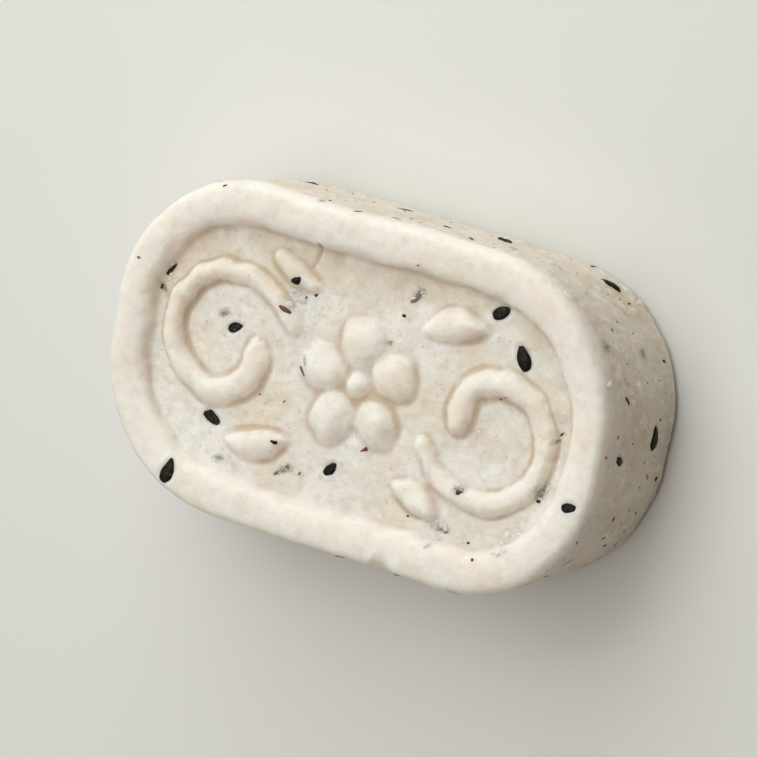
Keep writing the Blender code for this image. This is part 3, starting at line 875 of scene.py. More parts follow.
def cake_material(colours):
    """Steamed rice flour: creamy, powdery rim, sandy elsewhere, and shade painted in the hollows.
    """
    bench = Bench("rice_cake", colours.rim, Subsurface_Weight=0.8, Subsurface_Scale=2.1 * MM,
                  Subsurface_Radius=(1.0, 0.6, 0.36), Specular_IOR_Level=0.2)
    floor, side = bench.attribute("floor"), bench.attribute("side")
    hollow, smudge = bench.attribute("hollow"), bench.attribute("smudge")
    sandy = (floor * 0.6 + side).clamped()
    clouds = bench.noise(6 * MM)
    drifts = bench.noise(2.6 * MM, 0.6)
    patches = bench.noise(1.2 * MM, 0.6)
    sand = bench.noise(0.42 * MM, 0.65)
    fine = bench.noise(0.2 * MM, 0.7)
    white, cream = srgb(250, 248, 243), srgb(233, 219, 195)
    bench.paint(floor, colours.floor)
    bench.paint(side, colours.side)
    bench.paint(clouds.between(0.45, 0.72) * (0.27 + floor * 0.28), cream)
    bench.paint(clouds.between(0.5, 0.34) * floor * 0.5, white)
    bench.paint(drifts.between(0.52, 0.7) * (0.25 + sandy * 0.3), colours.grain)
    bench.paint(drifts.between(0.46, 0.3) * (0.22 + sandy * 0.18), cream)
    bench.paint(patches.between(0.52, 0.7) * 0.5, white)
    bench.paint(patches.between(0.46, 0.28) * (0.25 + sandy * 0.25), colours.grain)
    grain_gap, pick = bench.cells(1.3 * MM)
    middle = 1 - grain_gap.between(0.2, 0.5)
    bench.paint((pick > 0.86) * middle * (0.12 + sandy * 0.3), colours.grain)
    bench.paint((pick < 0.1 + side * 0.08) * middle * sandy * 0.42, white)
    bench.paint(sand.between(0.56, 0.74) * (0.1 + sandy * 0.2), white)
    bench.paint(sand.between(0.46, 0.3) * (0.1 + sandy * 0.16), srgb(212, 202, 186))
    # Pores: dents in the bump, also painted darker as the shade in them
    shaded_pores = bench.specks(0.75 * MM, 0.6, 0.08, 0.3)
    bench.paint(shaded_pores * (0.06 + sandy * 0.3), srgb(198, 182, 158))
    # Warm painted shade in the hollows, unevenly strong
    strength = clouds.between(0.36, 0.62) * 0.85 + 0.35 + (drifts - 0.5) * 1.6
    bench.paint((hollow * strength).clamped() * 0.85, colours.hollow)
    streaks = (smudge + sand * 1.5 + patches * 1.3 - 1.75).between(0.0, 0.8)
    bench.paint(streaks * 0.5, srgb(140, 137, 126))
    flecks = (smudge * 0.9 + fine * 1.6 - 1.55).between(0.0, 0.25)
    bench.paint(flecks * 0.7, srgb(84, 78, 68))
    pepper = bench.specks(0.9 * MM, 0.955, 0.05, 0.15)
    bench.paint(pepper * (0.2 + sandy * 0.3), srgb(122, 102, 82))
    roughness = 0.72 + sandy * 0.12 + (patches - 0.5) * 0.12
    height = (sand * (0.5 + sandy * 0.6 + side * 0.3) + fine * (0.3 + sandy * 0.15)
              + patches * (0.8 + side * 0.8) - shaded_pores * (0.25 + sandy * 0.8))
    return bench.finish(Roughness=roughness, Normal=bench.bump(height, 0.12 * MM, 0.9))


def seed_material(colours):
    """Black sesame: a dark husk with faint ribs, a dull shine, worn spots and a painted highlight.
    """
    bench = Bench("sesame_husk", colours.seed, Specular_IOR_Level=0.16)
    tone = bench.attribute("tone")
    grain = bench.noise(0.3 * MM, 0.6)
    worn = bench.noise(0.8 * MM, detail=2.0)
    bench.paint(grain.between(0.5, 0.72) * 0.5, srgb(58, 48, 38))
    bench.paint(worn.between(0.6, 0.7) * tone * 0.7, srgb(108, 94, 76))
    # A painted highlight on the crest of the seed's upper face
    crest = bench.attribute("crest") * grain.between(0.35, 0.6)
    bench.paint(crest * (0.1 + tone * 0.6), srgb(74, 67, 54))
    normal = bench.bump(grain, 0.08 * MM, 0.8)
    return bench.finish(Roughness=0.4 + grain * 0.3, Normal=normal)


def ground_bit_material(colours):
    """Ground bits of husk, skin and grain: black, brown, grey, red or pale by tone."""
    bench = Bench("ground_bits", Roughness=0.6, Specular_IOR_Level=0.18)
    stops = [(BLACK, colours.seed), (UMBER, srgb(70, 52, 40)), (GREY, srgb(138, 131, 118)),
             (RED, srgb(112, 52, 36)), (1.0, srgb(252, 232, 216))]
    bench.colour = bench.node("ShaderNodeValToRGB", {"stops": stops}, {0: bench.attribute("tone")})
    grain = bench.noise(0.25 * MM, detail=2.0)
    bench.paint(grain.between(0.5, 0.75) * 0.3, srgb(176, 160, 138))
    return bench.finish(Normal=bench.bump(grain, 0.05 * MM, 0.6))


def crumb_material(colours):
    """Crumbs of the same flour, some a little whiter."""
    bench = Bench("flour_crumbs", colours.side, Roughness=0.75, Subsurface_Weight=0.3,
                  Subsurface_Scale=0.4 * MM, Subsurface_Radius=(1.0, 0.75, 0.55),
                  Specular_IOR_Level=0.1)
    tone = bench.attribute("tone")
    grain = bench.noise(0.2 * MM, detail=2.0)
    bench.paint(tone, srgb(243, 239, 230))
    bench.paint(grain.between(0.5, 0.7) * 0.3, colours.grain)
    return bench.finish(Normal=bench.bump(grain, 0.05 * MM, 0.6))


def date_material(colours):
    """Red date: dark wrinkled skin on one side, orange-brown flesh with pale fibres."""
    bench = Bench("red_date", Roughness=0.4, Subsurface_Weight=0.15, Subsurface_Scale=0.8 * MM,
                  Subsurface_Radius=(1.0, 0.35, 0.2), Specular_IOR_Level=0.5)
    flesh = bench.attribute("flesh")
    patches = bench.noise(0.9 * MM, 0.65, 4.0)
    fibres = bench.noise(0.3 * MM, 0.6)
    border = (flesh + (patches - 0.5) * 1.9).between(0.42, 0.62)
    skin = bench.mix(patches.between(0.4, 0.7), colours.skin, srgb(132, 62, 40))
    inside = bench.mix(fibres.between(0.4, 0.65), colours.flesh, srgb(212, 168, 118))
    bench.colour = bench.mix(border, skin, inside)
    normal = bench.bump(patches * 0.7 + fibres * 0.3, 0.25 * MM, 0.8)
    return bench.finish(Roughness=0.35 + border * 0.25, Normal=normal)


def nut_material(colours):
    """Pale lumps of nut and rice: nearly the dough's own white and a little see-through."""
    bench = Bench("nut_lumps", colours.nut, Roughness=0.6, Subsurface_Weight=0.5,
                  Subsurface_Scale=1.0 * MM, Subsurface_Radius=(1.0, 0.85, 0.65),
                  Specular_IOR_Level=0.2)
    patches = bench.noise(0.8 * MM, 0.6)
    bench.paint(patches.between(0.45, 0.7) * 0.6, srgb(208, 203, 190))
    bench.paint(bench.attribute("tone") * 0.4, srgb(226, 214, 190))
    normal = bench.bump(bench.noise(0.4 * MM), 0.12 * MM, 0.6)
    return bench.finish(Roughness=0.55 + patches * 0.2, Normal=normal)


def round_shares():
    """Shares of the way round for the body's rings, starting where two grid edges meet."""
    starts = np.array([CORNER_SHARE / 2, 0.5 - END_SHARE - CORNER_SHARE / 2])
    starts = np.concatenate([starts, starts + 0.5, [1 + starts[0]]])
    counts = (GRID_LONG, GRID_SHORT, GRID_LONG, GRID_SHORT)
    runs = [np.linspace(low, high, count, endpoint=False)
            for low, high, count in zip(starts, starts[1:], counts)]
    return np.concatenate(runs) % 1.0


def blurred(values, rounds):
    """A grid smoothed by taking the mean of each cell's four neighbours, again and again. It
    counts as 0 beyond its border."""
    for _ in range(rounds):
        wide = np.pad(values, 1)
        values = (wide[:-2, 1:-1] + wide[2:, 1:-1] + wide[1:-1, :-2] + wide[1:-1, 2:]) / 4
    return values


def body_rings(sizes):
    """The rings of the body's shell, closer together along the foot's edge and the wall."""
    path = section_rings(sizes, ROUNDING_STEPS)[1:-1]
    middles = (path[1:] + path[:-1]) / 2
    wanted = 1 + EDGE_CLOSER * bell(middles[:, 3] - FOOT_EDGE_HEIGHT, 0.8 * MM)
    wanted = np.where(middles[:, 3] < 0.05 * MM, UNDERSIDE_CLOSENESS, wanted)
    on_wall = middles[:, 1] < sizes.panel_width / 2 + 1.2 * MM
    wanted = np.where(on_wall, WALL_CLOSENESS, wanted)
    steps = np.hypot(np.diff(path[:, 1]), np.diff(path[:, 3])) * wanted
    distance = np.concatenate([[0], np.cumsum(steps)])
    stations = np.linspace(0, distance[-1], RING_COUNT)
    return np.stack([np.interp(stations, distance, path[:, k]) for k in range(4)], axis=1)


def grid_edges(ring):
    """The top, bottom, left and right edges of the grid that a ring encloses, each from left to
    right or upwards."""
    long, short = GRID_LONG, GRID_SHORT
    top, left = ring[:long + 1][::-1], ring[long:long + short + 1][::-1]
    bottom = ring[long + short:2 * long + short + 1]
    right = np.concatenate([ring[2 * long + short:], ring[:1]])
    return top, bottom, left, right


def body_surface(sizes):
    """Points, faces and attributes of the body before its fine grain.

    Rings run from the underside up the side, over the rim and down the wall. The last one is
    the edge of a grid that covers the panel's floor, whose heights are the relief.
    """
    share = round_shares()
    count = len(share)
    shell = ring_points(body_rings(sizes), share)
    grid = coons_grid(*grid_edges(shell[-1]))
    relief = relief_height(grid[..., :2].reshape(-1, 2), sizes).reshape(grid.shape[:2])
    rise = blurred(relief, RELIEF_ROUNDS)
    grid[..., 2] += rise
    inner = grid[1:-1, 1:-1]
    points = np.concatenate([shell.reshape(-1, 3), inner.reshape(-1, 3)])
    rings = np.arange(RING_COUNT * count).reshape(RING_COUNT, count)
    after = np.roll(rings, -1, axis=1)
    index = np.empty(grid.shape[:2], dtype=np.int64)
    index[1:-1, 1:-1] = rings.size + np.arange(inner[..., 0].size).reshape(inner.shape[:2])
    index[-1], index[0], index[:, 0], index[:, -1] = grid_edges(rings[-1])
    faces = four_sided(rings[:-1], after[:-1], after[1:], rings[1:])
    faces += four_sided(index[:-1, :-1], index[:-1, 1:], index[1:, 1:], index[1:, :-1])
    faces.append(rings[0][::-1].tolist())
    attributes = body_regions(sizes, points, rings.size, rise[1:-1, 1:-1])
    return warp(points + edge_wobble(sizes, points), sizes), faces, attributes


def edge_wobble(sizes, points):
    """Shifts that make the inner edge of the rim uneven: slow and quick noise along x and y, from
    seeds of their own, times a bell that is 1 on the wall and fades to both sides."""
    inside = depth_inside(points[:, :2], sizes.panel_length, sizes.panel_width, sizes.panel_radius)
    share = bell(inside, 1.1 * MM) * (points[:, 2] > UPPER_PART)
    shift = np.zeros_like(points)
    for axis in (0, 1):
        layers = [(height, size, seed + axis) for height, size, seed in RIM_WOBBLES]
        shift[:, axis] = share * MM * layered(lattice_noise, points, layers)
    return shift


def depth_inside(spots, length, width, radius):
    """How far spots lie inside a rounded oblong: the radius less the distance to the nearer
    corner centre, or to the line between two of them."""
    beyond = np.abs(spots) - (np.array([length, width]) / 2 - radius)
    outside = np.linalg.norm(np.clip(beyond, 0, None), axis=-1)
    return radius - outside - np.minimum(beyond.max(axis=-1), 0)


def body_regions(sizes, points, ring_total, rise):
    """How much each point belongs to the panel's floor and the sides, and its painted shade and
    smudge.

    `rise` holds the relief of the panel's points, which follow the `ring_total` ring points.
    Shade is painted along the foot of the wall, as a broad shadow towards +Y, and beside the
    strokes.
    """
    spots, drop = points[:, :2], sizes.thickness - points[:, 2]
    inside = depth_inside(spots, sizes.panel_length, sizes.panel_width, sizes.panel_radius)
    within = inside > -0.4 * MM
    lifted = np.zeros(len(points))
    lifted[ring_total:] = np.clip(rise / sizes.relief, 0, 1).ravel()
    floor = np.where(within, smooth_step(inside, 0.1 * MM, 0.7 * MM), 0) * (1 - 0.9 * lifted)
    side = np.where(within, 0, smooth_step(drop, 0.6 * MM, 3.2 * MM))
    shadow_side = smooth_step(spots[:, 1], -6 * MM, 10 * MM)
    # Painted shade: a thin line along the wall's foot, and a broad painted shadow of the wall
    # towards +Y
    hollow = 0.5 * bell(inside - 0.3 * MM, 0.28 * MM)
    hollow += 0.48 * shadow_side * smooth_step(inside, 0, 0.8 * MM) * bell(inside, 3.4 * MM)
    hollow = np.where(within, hollow, 0)
    # Painted shade in the dips beside the strokes
    dip_shade = smooth_step(blurred(rise, DIP_ROUNDS) - rise, 0.02 * MM, 0.17 * MM)
    hollow[ring_total:] = np.maximum(hollow[ring_total:], dip_shade.ravel())
    smudge = np.zeros(len(points))
    for x, y, turn, length, width in SMUDGES:
        q = oval_share(spots - (x, y), math.radians(turn), length / 2, width / 2)
        smudge = np.maximum(smudge, np.where(drop < 3 * MM, np.clip(1.25 - q, 0, 1), 0))
    chooser = random.Random(SMUDGE_SEED)
    for share, height in side_spots(sizes, SIDE_SMUDGE_COUNT, SIDE_SMUDGE_GAP, SMUDGE_SEED + 1):
        middle, _, _ = skin_frame(sizes, share, height=height)
        q = np.linalg.norm(points - np.array(middle), axis=1) / chooser.uniform(*SIDE_SMUDGE_RADII)
        smudge = np.maximum(smudge, np.clip(1.1 - q, 0, 1))
    return {"floor": floor, "side": side, "hollow": hollow, "smudge": smudge}


def crack_share(points):
    """How deep each point lies in the short crack that runs into the panel from the rim: 1 along
    its bent line, less towards its inner end, and falling off like a bell to both sides."""
    start, end = np.array(CRACK)
    spots = points[:, :2] + 0.14 * MM * lattice_noise(points, 1.6 * MM, seed=42)[:, None]
    along = end - start
    t = np.clip((spots - start) @ along / (along @ along), 0, 1)
    gap = np.linalg.norm(spots - start - t[:, None] * along, axis=1)
    return (1 - 0.45 * t) * bell(gap, 0.24 * MM) * (points[:, 2] > UPPER_PART)


def coarse_grains(points, side):
    """How much coarse grains crowd round each point of the sides, and how high they stand."""
    crowd = side * smooth_step(lattice_noise(points, 6 * MM, seed=39), -0.1, 0.3)
    return crowd, grain_domes(points, 1.5 * MM, seed=40)


def end_shoulder(points, sizes):
    """How much the shoulder at the +X end is filled out, so that it is crisper than elsewhere: a
    bell round the middle of its rounding, in the section, which fades towards +Y and -X."""
    inside = depth_inside(points[:, :2], sizes.length, sizes.width, sizes.corner_radius)
    drop = sizes.thickness - points[:, 2]
    end = smooth_step(points[:, 0], 17 * MM, 25 * MM)
    near = 1 - smooth_step(points[:, 1], 4 * MM, 13 * MM)
    return bell(np.hypot(inside - 0.25 * MM, drop - 0.5 * MM), 0.7 * MM) * end * near


def fine_relief(points, attributes, coarse, crack, sizes):
    """How far each point of the body moves along its normal: lumps, sandy and coarse grains,
    pits, the crack, the thin edge that the mould leaves along the foot, one chip below the rim
    and the filled-out shoulder at the near end. It fades to nothing at the underside."""
    floor, side = attributes["floor"], attributes["side"]
    sandy = np.clip(0.5 * floor + side, 0, 1)
    lumps = layered(lattice_noise, points, SKIN_LUMPS)
    grains = layered(grain_domes, points, SKIN_GRAINS)
    pits = grain_domes(points, 2.6 * MM, seed=38)
    move = lumps * (0.8 + 0.3 * floor) + grains * (0.16 + 0.84 * sandy)
    move -= PIT_DEPTH * np.clip(pits - 0.35, 0, None) * (1 - sandy)
    height = points[:, 2]
    uneven = 0.75 + 0.5 * lattice_noise(points, 5 * MM, seed=36)
    move += EDGE_OUT * uneven * bell(height - FOOT_EDGE_HEIGHT, 0.32 * MM)
    chip, _, _ = skin_frame(sizes, CHIP_SHARE, inset=CHIP_INSET)
    gap = np.linalg.norm(points - np.array(chip), axis=1)
    move -= CHIP_DEPTH * np.clip(1 - (gap / CHIP_RADIUS) ** 2, 0, None)
    move += (COARSE_HEIGHT * coarse - CRACK_DEPTH * crack
             + SHOULDER_OUT * end_shoulder(points, sizes))
    return move * MM * smooth_step(height, 0.1 * MM, 0.8 * MM)


def press_in(points, places, sizes):
    """How deep each point is pushed in by the seeds: a bowl under each, with the dough heaped up
    a little in a narrow ring round it."""
    depth = np.zeros(len(points))
    for matrix, size in places:
        local = placed(matrix.inverted(), points)
        q = np.hypot(local[:, 0] / (sizes.seed_length * size / 2 + PRESS_MARGIN),
                     local[:, 1] / (sizes.seed_width * size / 2 + PRESS_MARGIN))
        bowl = BOWL_DEPTH * np.clip(1 - q ** 3, 0, None)
        bowl -= RING_HEIGHT * bell(q - RING_PLACE, RING_WIDTH)
        depth += np.where((np.abs(local[:, 2]) < PRESS_REACH) & (q < 2), bowl, 0)
    return MM * depth


def make_body(sizes, colours):
    """The cake itself, as one closed surface."""
    points, faces, attributes = body_surface(sizes)
    crack = crack_share(points)
    crowd, coarse = coarse_grains(points, attributes["side"])
    # Shade is painted between the coarse grains and into the crack, on top of the hollow shade
    gaps = crowd * (1 - smooth_step(coarse, 0.04, 0.25))
    coarse = crowd * (coarse - 0.2)
    attributes["hollow"] = np.maximum(attributes["hollow"], np.maximum(1.6 * crack, 0.42 * gaps))
    piece = new_piece("cake_body", points, faces, cake_material(colours), attributes)
    normals = vertex_normals(piece.data)
    move = fine_relief(points, attributes, coarse, crack, sizes)
    move -= press_in(points, seed_places(sizes), sizes)
    piece.data.vertices.foreach_set("co", (points + normals * move[:, None]).ravel())
    piece.data.update()
    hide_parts(NODE)


def make_seeds(sizes, colours):
    """Whole sesame seeds: flat balls, drawn to a point at one end, with a groove between two low
    ridges. Each is bent, dented, slimmed, tilted and sunk a little differently, and carries its
    tone and the crest of its upper face, where the material paints a highlight."""
    ball, faces = closed_ball(17, 24)
    places = seed_places(sizes)
    shapes, tones = [], []
    chooser = random.Random(SHAPE_SEED)
    half = np.array([sizes.seed_length, sizes.seed_width, sizes.seed_thickness]) / 2
    x, y = ball[:, :1], ball[:, 1:2]
    for matrix, size in places:
        shape = ball.copy()
        shape[:, 1:] *= 1 - 0.28 * x - 0.12 * x ** 2
        shape[:, 1:2] += chooser.uniform(-SEED_BEND, SEED_BEND) * (1 - x ** 2)
        shape[:, 2:] *= 1 - 0.22 * bell(y, 0.35)
        dents = 1 + 0.16 * lattice_noise(ball * MM + chooser.random(), 0.7 * MM, seed=41)
        slim = (1, chooser.uniform(*SEED_WIDTHS), chooser.uniform(*SEED_THICKNESSES))
        shape = shape * half * size * slim * dents[:, None]
        shape[:, 2] += chooser.uniform(-SEED_TILT, SEED_TILT) * shape[:, 0]
        shape[:, 2] -= chooser.uniform(*SEED_SINKS)
        shapes.append(warp(placed(matrix, shape), sizes))
        tones.append(chooser.random())
    points, all_faces = join_copies(shapes, faces)
    # Where a highlight is painted: the crest of the upper face
    crest = np.clip(1.1 - np.hypot(ball[:, 0], 1.3 * ball[:, 1]), 0, 1) * (ball[:, 2] > 0)
    attributes = {"tone": np.repeat(tones, len(ball)), "crest": np.tile(crest, len(places))}
    new_piece("sesame_seeds", points, all_faces, seed_material(colours), attributes)


def faceted(ball, chooser, cuts, roughness, seed):
    """A ball turned into an angular bit: its points are pushed about by noise, and then pulled
    onto a few random planes where they stick out past them."""
    dents = roughness * lattice_noise(ball * MM + chooser.random(), 0.8 * MM, seed)
    shape = ball * (1 + dents)[:, None]
    for _ in range(cuts):
        facing = np.array([chooser.gauss(0, 1) for _ in range(3)])
        facing /= np.linalg.norm(facing)
        beyond = np.clip(shape @ facing - chooser.uniform(0.45, 0.8), 0, None)
        shape = shape - beyond[:, None] * facing
    return shape


class Sprinkling:
    """Angular bits of one kind, set one by one in the finished skin of the body."""

    def __init__(self, fineness, seed, cuts, roughness, sink):
        mesh = bpy.data.objects["cake_body"].data
        quads = [face.vertices[:] for face in mesh.polygons if len(face.vertices) == 4]
        self.skin = BVHTree.FromPolygons([vertex.co[:] for vertex in mesh.vertices], quads)
        self.ball, self.faces = closed_ball(*fineness)
        self.chooser = random.Random(seed)
        self.looks = (cuts, roughness, seed + 2)
        self.sink = sink
        self.shapes = []
        self.tones = []

    def on_top(self, x, y):
        """The skin's point and normal straight below a place on the top."""
        return self.skin.ray_cast(Vector((x, y, 0.1)), Vector((0, 0, -1)))[:2]

    def on_side(self, sizes, share, height):
        """The skin's point and normal at a share of the way round and a height."""
        point, _, _ = skin_frame(sizes, share, height=height)
        return self.skin.find_nearest(point)[:2]

    def add(self, point, normal, turn, half):
        """Puts one more bit on the skin, turned, and sunk by a share of its own height."""
        shape = faceted(self.ball, self.chooser, *self.looks) * half
        shape[:, 2] -= self.sink * shape[:, 2].max()
        along = Vector((1, 0, 0)) if abs(normal.x) < 0.8 else Vector((0, 0, 1))
        level = normal.cross(along).cross(normal).normalized()
        self.shapes.append(placed(turned_to(point, normal, level, turn), shape))

    def finish(self, name, material):
        """One mesh of all the bits, each with its own tone."""
        points, faces = join_copies(self.shapes, self.faces)
        tones = np.repeat(self.tones, len(self.ball))
        new_piece(name, points, faces, material, {"tone": tones})


def make_bits(sizes, colours):
    """Ground bits of husk, skin and grain: those in plain view, then more round the sides."""
    bits = Sprinkling((6, 9), BIT_SEED, cuts=5, roughness=0.25, sink=0.5)
    chooser = bits.chooser
    spots = [(*bits.on_top(x, y), *rest) for x, y, *rest in TOP_BITS]
    spots += [(*bits.on_side(sizes, *row[:2]), *row[2:]) for row in SIDE_BITS]
    for place in side_spots(sizes, SPREAD_BIT_COUNT, SPREAD_BIT_GAP, BIT_SEED + 1, TAKEN_ON_SIDE):
        length = (SPREAD_BIT_LEAST + SPREAD_BIT_MORE * chooser.random() ** 2.4) * MM
        if not SPREAD_SHARES[0] < place[0] < SPREAD_SHARES[1]:
            length *= SHARE_IN_VIEW
        width = max(length * chooser.uniform(0.38, 0.62), min(length, 0.4 * MM))
        tone = chooser.choice(SPREAD_TONES)
        turn = chooser.uniform(0, 360)
        spots.append((*bits.on_side(sizes, *place), turn, length, width, tone))
    for point, normal, turn, length, width, tone in spots:
        half = np.array([length, width, max(width * 0.6, 0.28 * MM)]) / 2
        bits.add(point, normal, turn, half)
        bits.tones.append(tone + chooser.uniform(-0.06, 0.06))
    bits.finish("ground_bits", ground_bit_material(colours))


def make_lumps(sizes, colours):
    """Pale lumps of nut and rice, nearly flush with the skin."""
    lumps = Sprinkling((14, 22), LUMP_SEED, cuts=5, roughness=0.5, sink=0.62)
    chooser = lumps.chooser
    spots = []
    for share, height in side_spots(sizes, LUMP_COUNT, LUMP_GAP, LUMP_SEED + 1, TAKEN_ON_SIDE):
        length = chooser.uniform(*LUMP_LENGTHS) * MM
        half = (length / 2, length * chooser.uniform(0.55, 0.85) / 2, LUMP_HALF_THICKNESS)
        place = lumps.on_side(sizes, share, max(height, LUMP_LOWEST))
        spots.append((*place, chooser.uniform(0, 360), half))
    for spot in spots:
        lumps.add(*spot)
        lumps.tones.append(chooser.random())
    lumps.finish("nut_lumps", nut_material(colours))


def make_crumbs(sizes, colours):
    """Loose flour crumbs that cling to the panel and the sides, and little heaps of bigger ones."""
    crumbs = Sprinkling((6, 9), CRUMB_SEED, cuts=6, roughness=0.45, sink=0.5)
    chooser = crumbs.chooser
    length, width = sizes.panel_length, sizes.panel_width
    spots = []
    while len(spots) < PANEL_CRUMB_COUNT:
        spot = chooser.uniform(-length / 2, length / 2), chooser.uniform(-width / 2, width / 2)
        if depth_inside(np.array(spot), length, width, sizes.panel_radius) > 0.2 * MM:
            spots.append((*crumbs.on_top(*spot), 1.0))
    for place in side_spots(sizes, SIDE_CRUMB_COUNT, SIDE_CRUMB_GAP, CRUMB_SEED + 1):
        spots.append((*crumbs.on_side(sizes, *place), 1.0))
    for x, y, spread, count in CRUMB_HEAPS:
        for _ in range(count):
            away, angle = spread * chooser.random() ** 0.6, chooser.uniform(0, math.tau)
            place = crumbs.on_top(x + away * math.cos(angle), y + away * math.sin(angle))
            spots.append((*place, HEAP_GROWTH))
    for point, normal, growth in spots:
        size = growth * (CRUMB_LEAST + CRUMB_MORE * chooser.random() ** 2) * MM
        half = size * np.array([1, chooser.uniform(0.6, 1), chooser.uniform(0.35, 0.6)])
        crumbs.add(point, normal, chooser.uniform(0, 360), half)
        crumbs.tones.append(chooser.random())
    crumbs.finish("flour_crumbs", crumb_material(colours))


def make_dates(sizes, colours):
    """Chopped red date: flat chunks, wrinkled by folded noise, with the flesh on one side."""
    ball, faces = closed_ball(26, 34)
    chooser = random.Random(DATE_SEED)
    shapes, flesh = [], []
    for share, height, turn, half_length in DATES:
        shifted = ball * MM + chooser.random() * 0.05
        wrinkles = np.abs(lattice_noise(shifted, 0.55 * MM, seed=51))
        lumps = lattice_noise(shifted, 1.1 * MM, seed=52)
        shape = faceted(ball, chooser, 7, 0.3, seed=53)
        shape *= (1.2 + 0.2 * lumps - 0.2 * wrinkles)[:, None]
        shape *= (half_length, half_length * DATE_HALF_WIDTH_SHARE, DATE_HALF_THICKNESS)
        shape[:, 2] -= DATE_SINK
        matrix = turned_to(*skin_frame(sizes, share, height=height), turn)
        shapes.append(warp(placed(matrix, shape), sizes))
        flesh.append(np.clip(0.4 + 0.45 * ball[:, 0] * chooser.choice((-1, 1)), 0, 1))
    points, all_faces = join_copies(shapes, faces)
    attributes = {"flesh": np.concatenate(flesh)}
    new_piece("date_pieces", points, all_faces, date_material(colours), attributes)


def make_stage(colours):
    """A plain pale floor, four soft lights and a faint, warmer sky. As seen in the view, the key
    light stands at the upper left, a second one above, a weak, warm one at the lower left, and
    a weak, low one beyond the top."""
    half = STAGE_HALF
    corners = [(-half, -half), (half, -half), (half, half), (-half, half)]
    mesh = bpy.data.meshes.new("floor")
    mesh.from_pydata([(x, y, -STAGE_DROP) for x, y in corners], [], [(0, 1, 2, 3)])
    floor = bpy.data.objects.new("floor", mesh)
    bench = Bench("stage_floor", colours.stage, Roughness=0.8)
    bench.paint(bench.noise(60 * MM, detail=2.0) * 0.1, srgb(222, 223, 222))
    mesh.materials.append(bench.finish())
    bpy.context.scene.collection.objects.link(floor)
    for name, light in LIGHTS.items():
        add_light(name, *light)
    world = bpy.data.worlds.new("sky")
    world.use_nodes = True
    background = world.node_tree.nodes["Background"]
    background.inputs["Color"].default_value = (*SKY_COLOUR, 1.0)
    background.inputs["Strength"].default_value = SKY_STRENGTH
    bpy.context.scene.world = world


def add_light(name, direction, distance, size, power, colour):
    """A square soft light that faces the cake from a direction."""
    data = bpy.data.lights.new(name, "AREA")
    data.shape = "SQUARE"
    data.size = size
    data.energy = power
    data.color = colour
    light = bpy.data.objects.new(name, data)
    towards = Vector(direction).normalized()
    light.location = towards * distance
    light.rotation_mode = "QUATERNION"
    light.rotation_quaternion = towards.to_track_quat("Z", "Y")
    bpy.context.scene.collection.objects.link(light)


def make_camera():
    """The camera, turned about its own line of sight as the cake lies tilted in the picture."""
    data = bpy.data.cameras.new("camera")
    data.lens = data.sensor_width * VIEW_DISTANCE / VIEW_WIDTH
    camera = bpy.data.objects.new("camera", data)
    level = math.cos(VIEW_ELEVATION)
    back = Vector((math.sin(VIEW_AZIMUTH) * level, -math.cos(VIEW_AZIMUTH) * level,
                   math.sin(VIEW_ELEVATION)))
    right = Vector((math.cos(VIEW_AZIMUTH), math.sin(VIEW_AZIMUTH), 0))
    axes = Matrix((right, back.cross(right), back)).transposed().to_4x4()
    place = Matrix.Translation(Vector(VIEW_TARGET) + back * VIEW_DISTANCE)
    camera.matrix_world = place @ axes @ Matrix.Rotation(VIEW_ROLL, 4, "Z")
    bpy.context.scene.collection.objects.link(camera)
    bpy.context.scene.camera = camera
    bpy.context.scene.view_settings.view_transform = "Standard"


class CakeOperator:
    """What the operators share: each can be undone and hands on the scene's sizes and colours."""

    bl_options = {"REGISTER", "UNDO"}

    def make(self, context, maker):
        maker(context.scene.cake_sizes, context.scene.cake_colours)
        return {"FINISHED"}


class MESH_OT_cake_body(CakeOperator, bpy.types.Operator):
    """Make the rice flour body with its rim, panel and relief"""

    bl_idname = "mesh.cake_body"
    bl_label = "Cake Body"

    def execute(self, context):
        return self.make(context, make_body)


class MESH_OT_cake_seeds(CakeOperator, bpy.types.Operator):
    """Press whole black sesame seeds into the cake"""

    bl_idname = "mesh.cake_seeds"
    bl_label = "Sesame Seeds"

    def execute(self, context):
        return self.make(context, make_seeds)


class MESH_OT_cake_bits(CakeOperator, bpy.types.Operator):
    """Set ground bits of husk, skin and grain in the skin of the cake"""

    bl_idname = "mesh.cake_bits"
    bl_label = "Ground Bits"

    def execute(self, context):
        return self.make(context, make_bits)


class MESH_OT_cake_dates(CakeOperator, bpy.types.Operator):
    """Press chopped red date into the sides"""

    bl_idname = "mesh.cake_dates"
    bl_label = "Date Pieces"

    def execute(self, context):
        return self.make(context, make_dates)


class MESH_OT_cake_lumps(CakeOperator, bpy.types.Operator):
    """Set pale lumps of nut and rice in the skin of the cake"""

    bl_idname = "mesh.cake_lumps"
    bl_label = "Nut Lumps"

    def execute(self, context):
        return self.make(context, make_lumps)


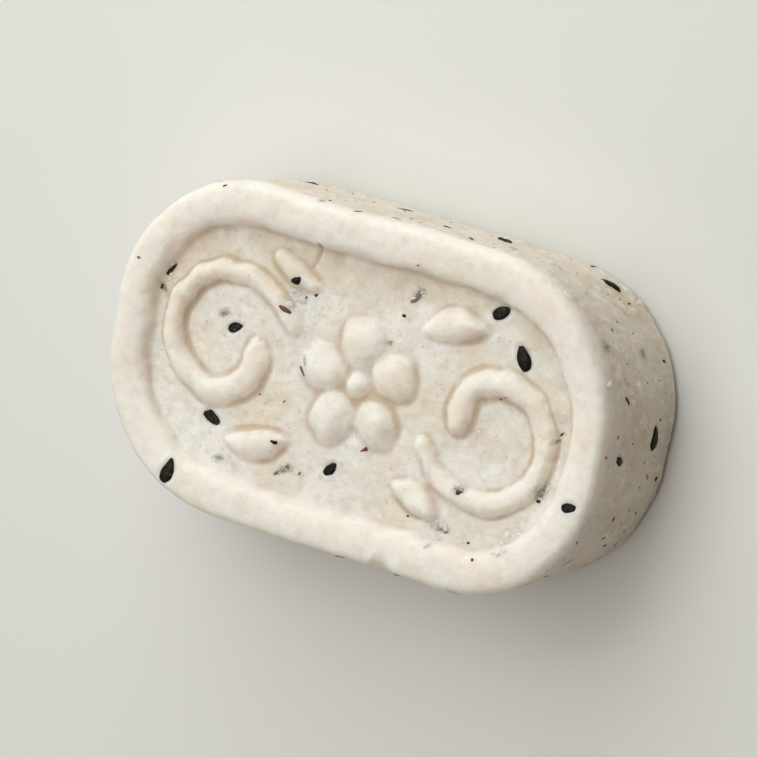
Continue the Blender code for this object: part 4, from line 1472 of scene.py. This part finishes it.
class MESH_OT_cake_crumbs(CakeOperator, bpy.types.Operator):
    """Let a few flour crumbs cling to the cake"""

    bl_idname = "mesh.cake_crumbs"
    bl_label = "Flour Crumbs"

    def execute(self, context):
        return self.make(context, make_crumbs)


class SCENE_OT_cake_stage(CakeOperator, bpy.types.Operator):
    """Make the floor, the lights and the camera"""

    bl_idname = "scene.cake_stage"
    bl_label = "Stage"

    def execute(self, context):
        make_stage(context.scene.cake_colours)
        make_camera()
        return {"FINISHED"}


OPERATORS = (MESH_OT_cake_body, MESH_OT_cake_seeds, MESH_OT_cake_bits, MESH_OT_cake_dates,
             MESH_OT_cake_lumps, MESH_OT_cake_crumbs, SCENE_OT_cake_stage)


class VIEW3D_PT_cake(bpy.types.Panel):
    """Lists the cake's pieces and settings in the sidebar."""

    bl_label = "Eight Treasure Cake"
    bl_space_type = "VIEW_3D"
    bl_region_type = "UI"
    bl_category = "Cake"

    def draw(self, context):
        column = self.layout.column()
        for operator in OPERATORS:
            column.operator(operator.bl_idname)
        for group in (context.scene.cake_sizes, context.scene.cake_colours):
            for name in group.bl_rna.properties.keys():
                if name not in ("rna_type", "name"):
                    column.prop(group, name)


CLASSES = (CakeSizes, CakeColours, *OPERATORS, VIEW3D_PT_cake)


def register():
    """Registers the classes and hangs the settings on the scene."""
    for item in CLASSES:
        bpy.utils.register_class(item)
    bpy.types.Scene.cake_sizes = PointerProperty(type=CakeSizes)
    bpy.types.Scene.cake_colours = PointerProperty(type=CakeColours)


def unregister():
    """Takes back what register did."""
    del bpy.types.Scene.cake_colours
    del bpy.types.Scene.cake_sizes
    for item in reversed(CLASSES):
        bpy.utils.unregister_class(item)


def main():
    """Makes every piece in order."""
    register()
    bpy.ops.mesh.cake_body()
    bpy.ops.mesh.cake_seeds()
    bpy.ops.mesh.cake_bits()
    bpy.ops.mesh.cake_dates()
    bpy.ops.mesh.cake_lumps()
    bpy.ops.mesh.cake_crumbs()
    bpy.ops.scene.cake_stage()


if __name__ == "__main__":
    main()
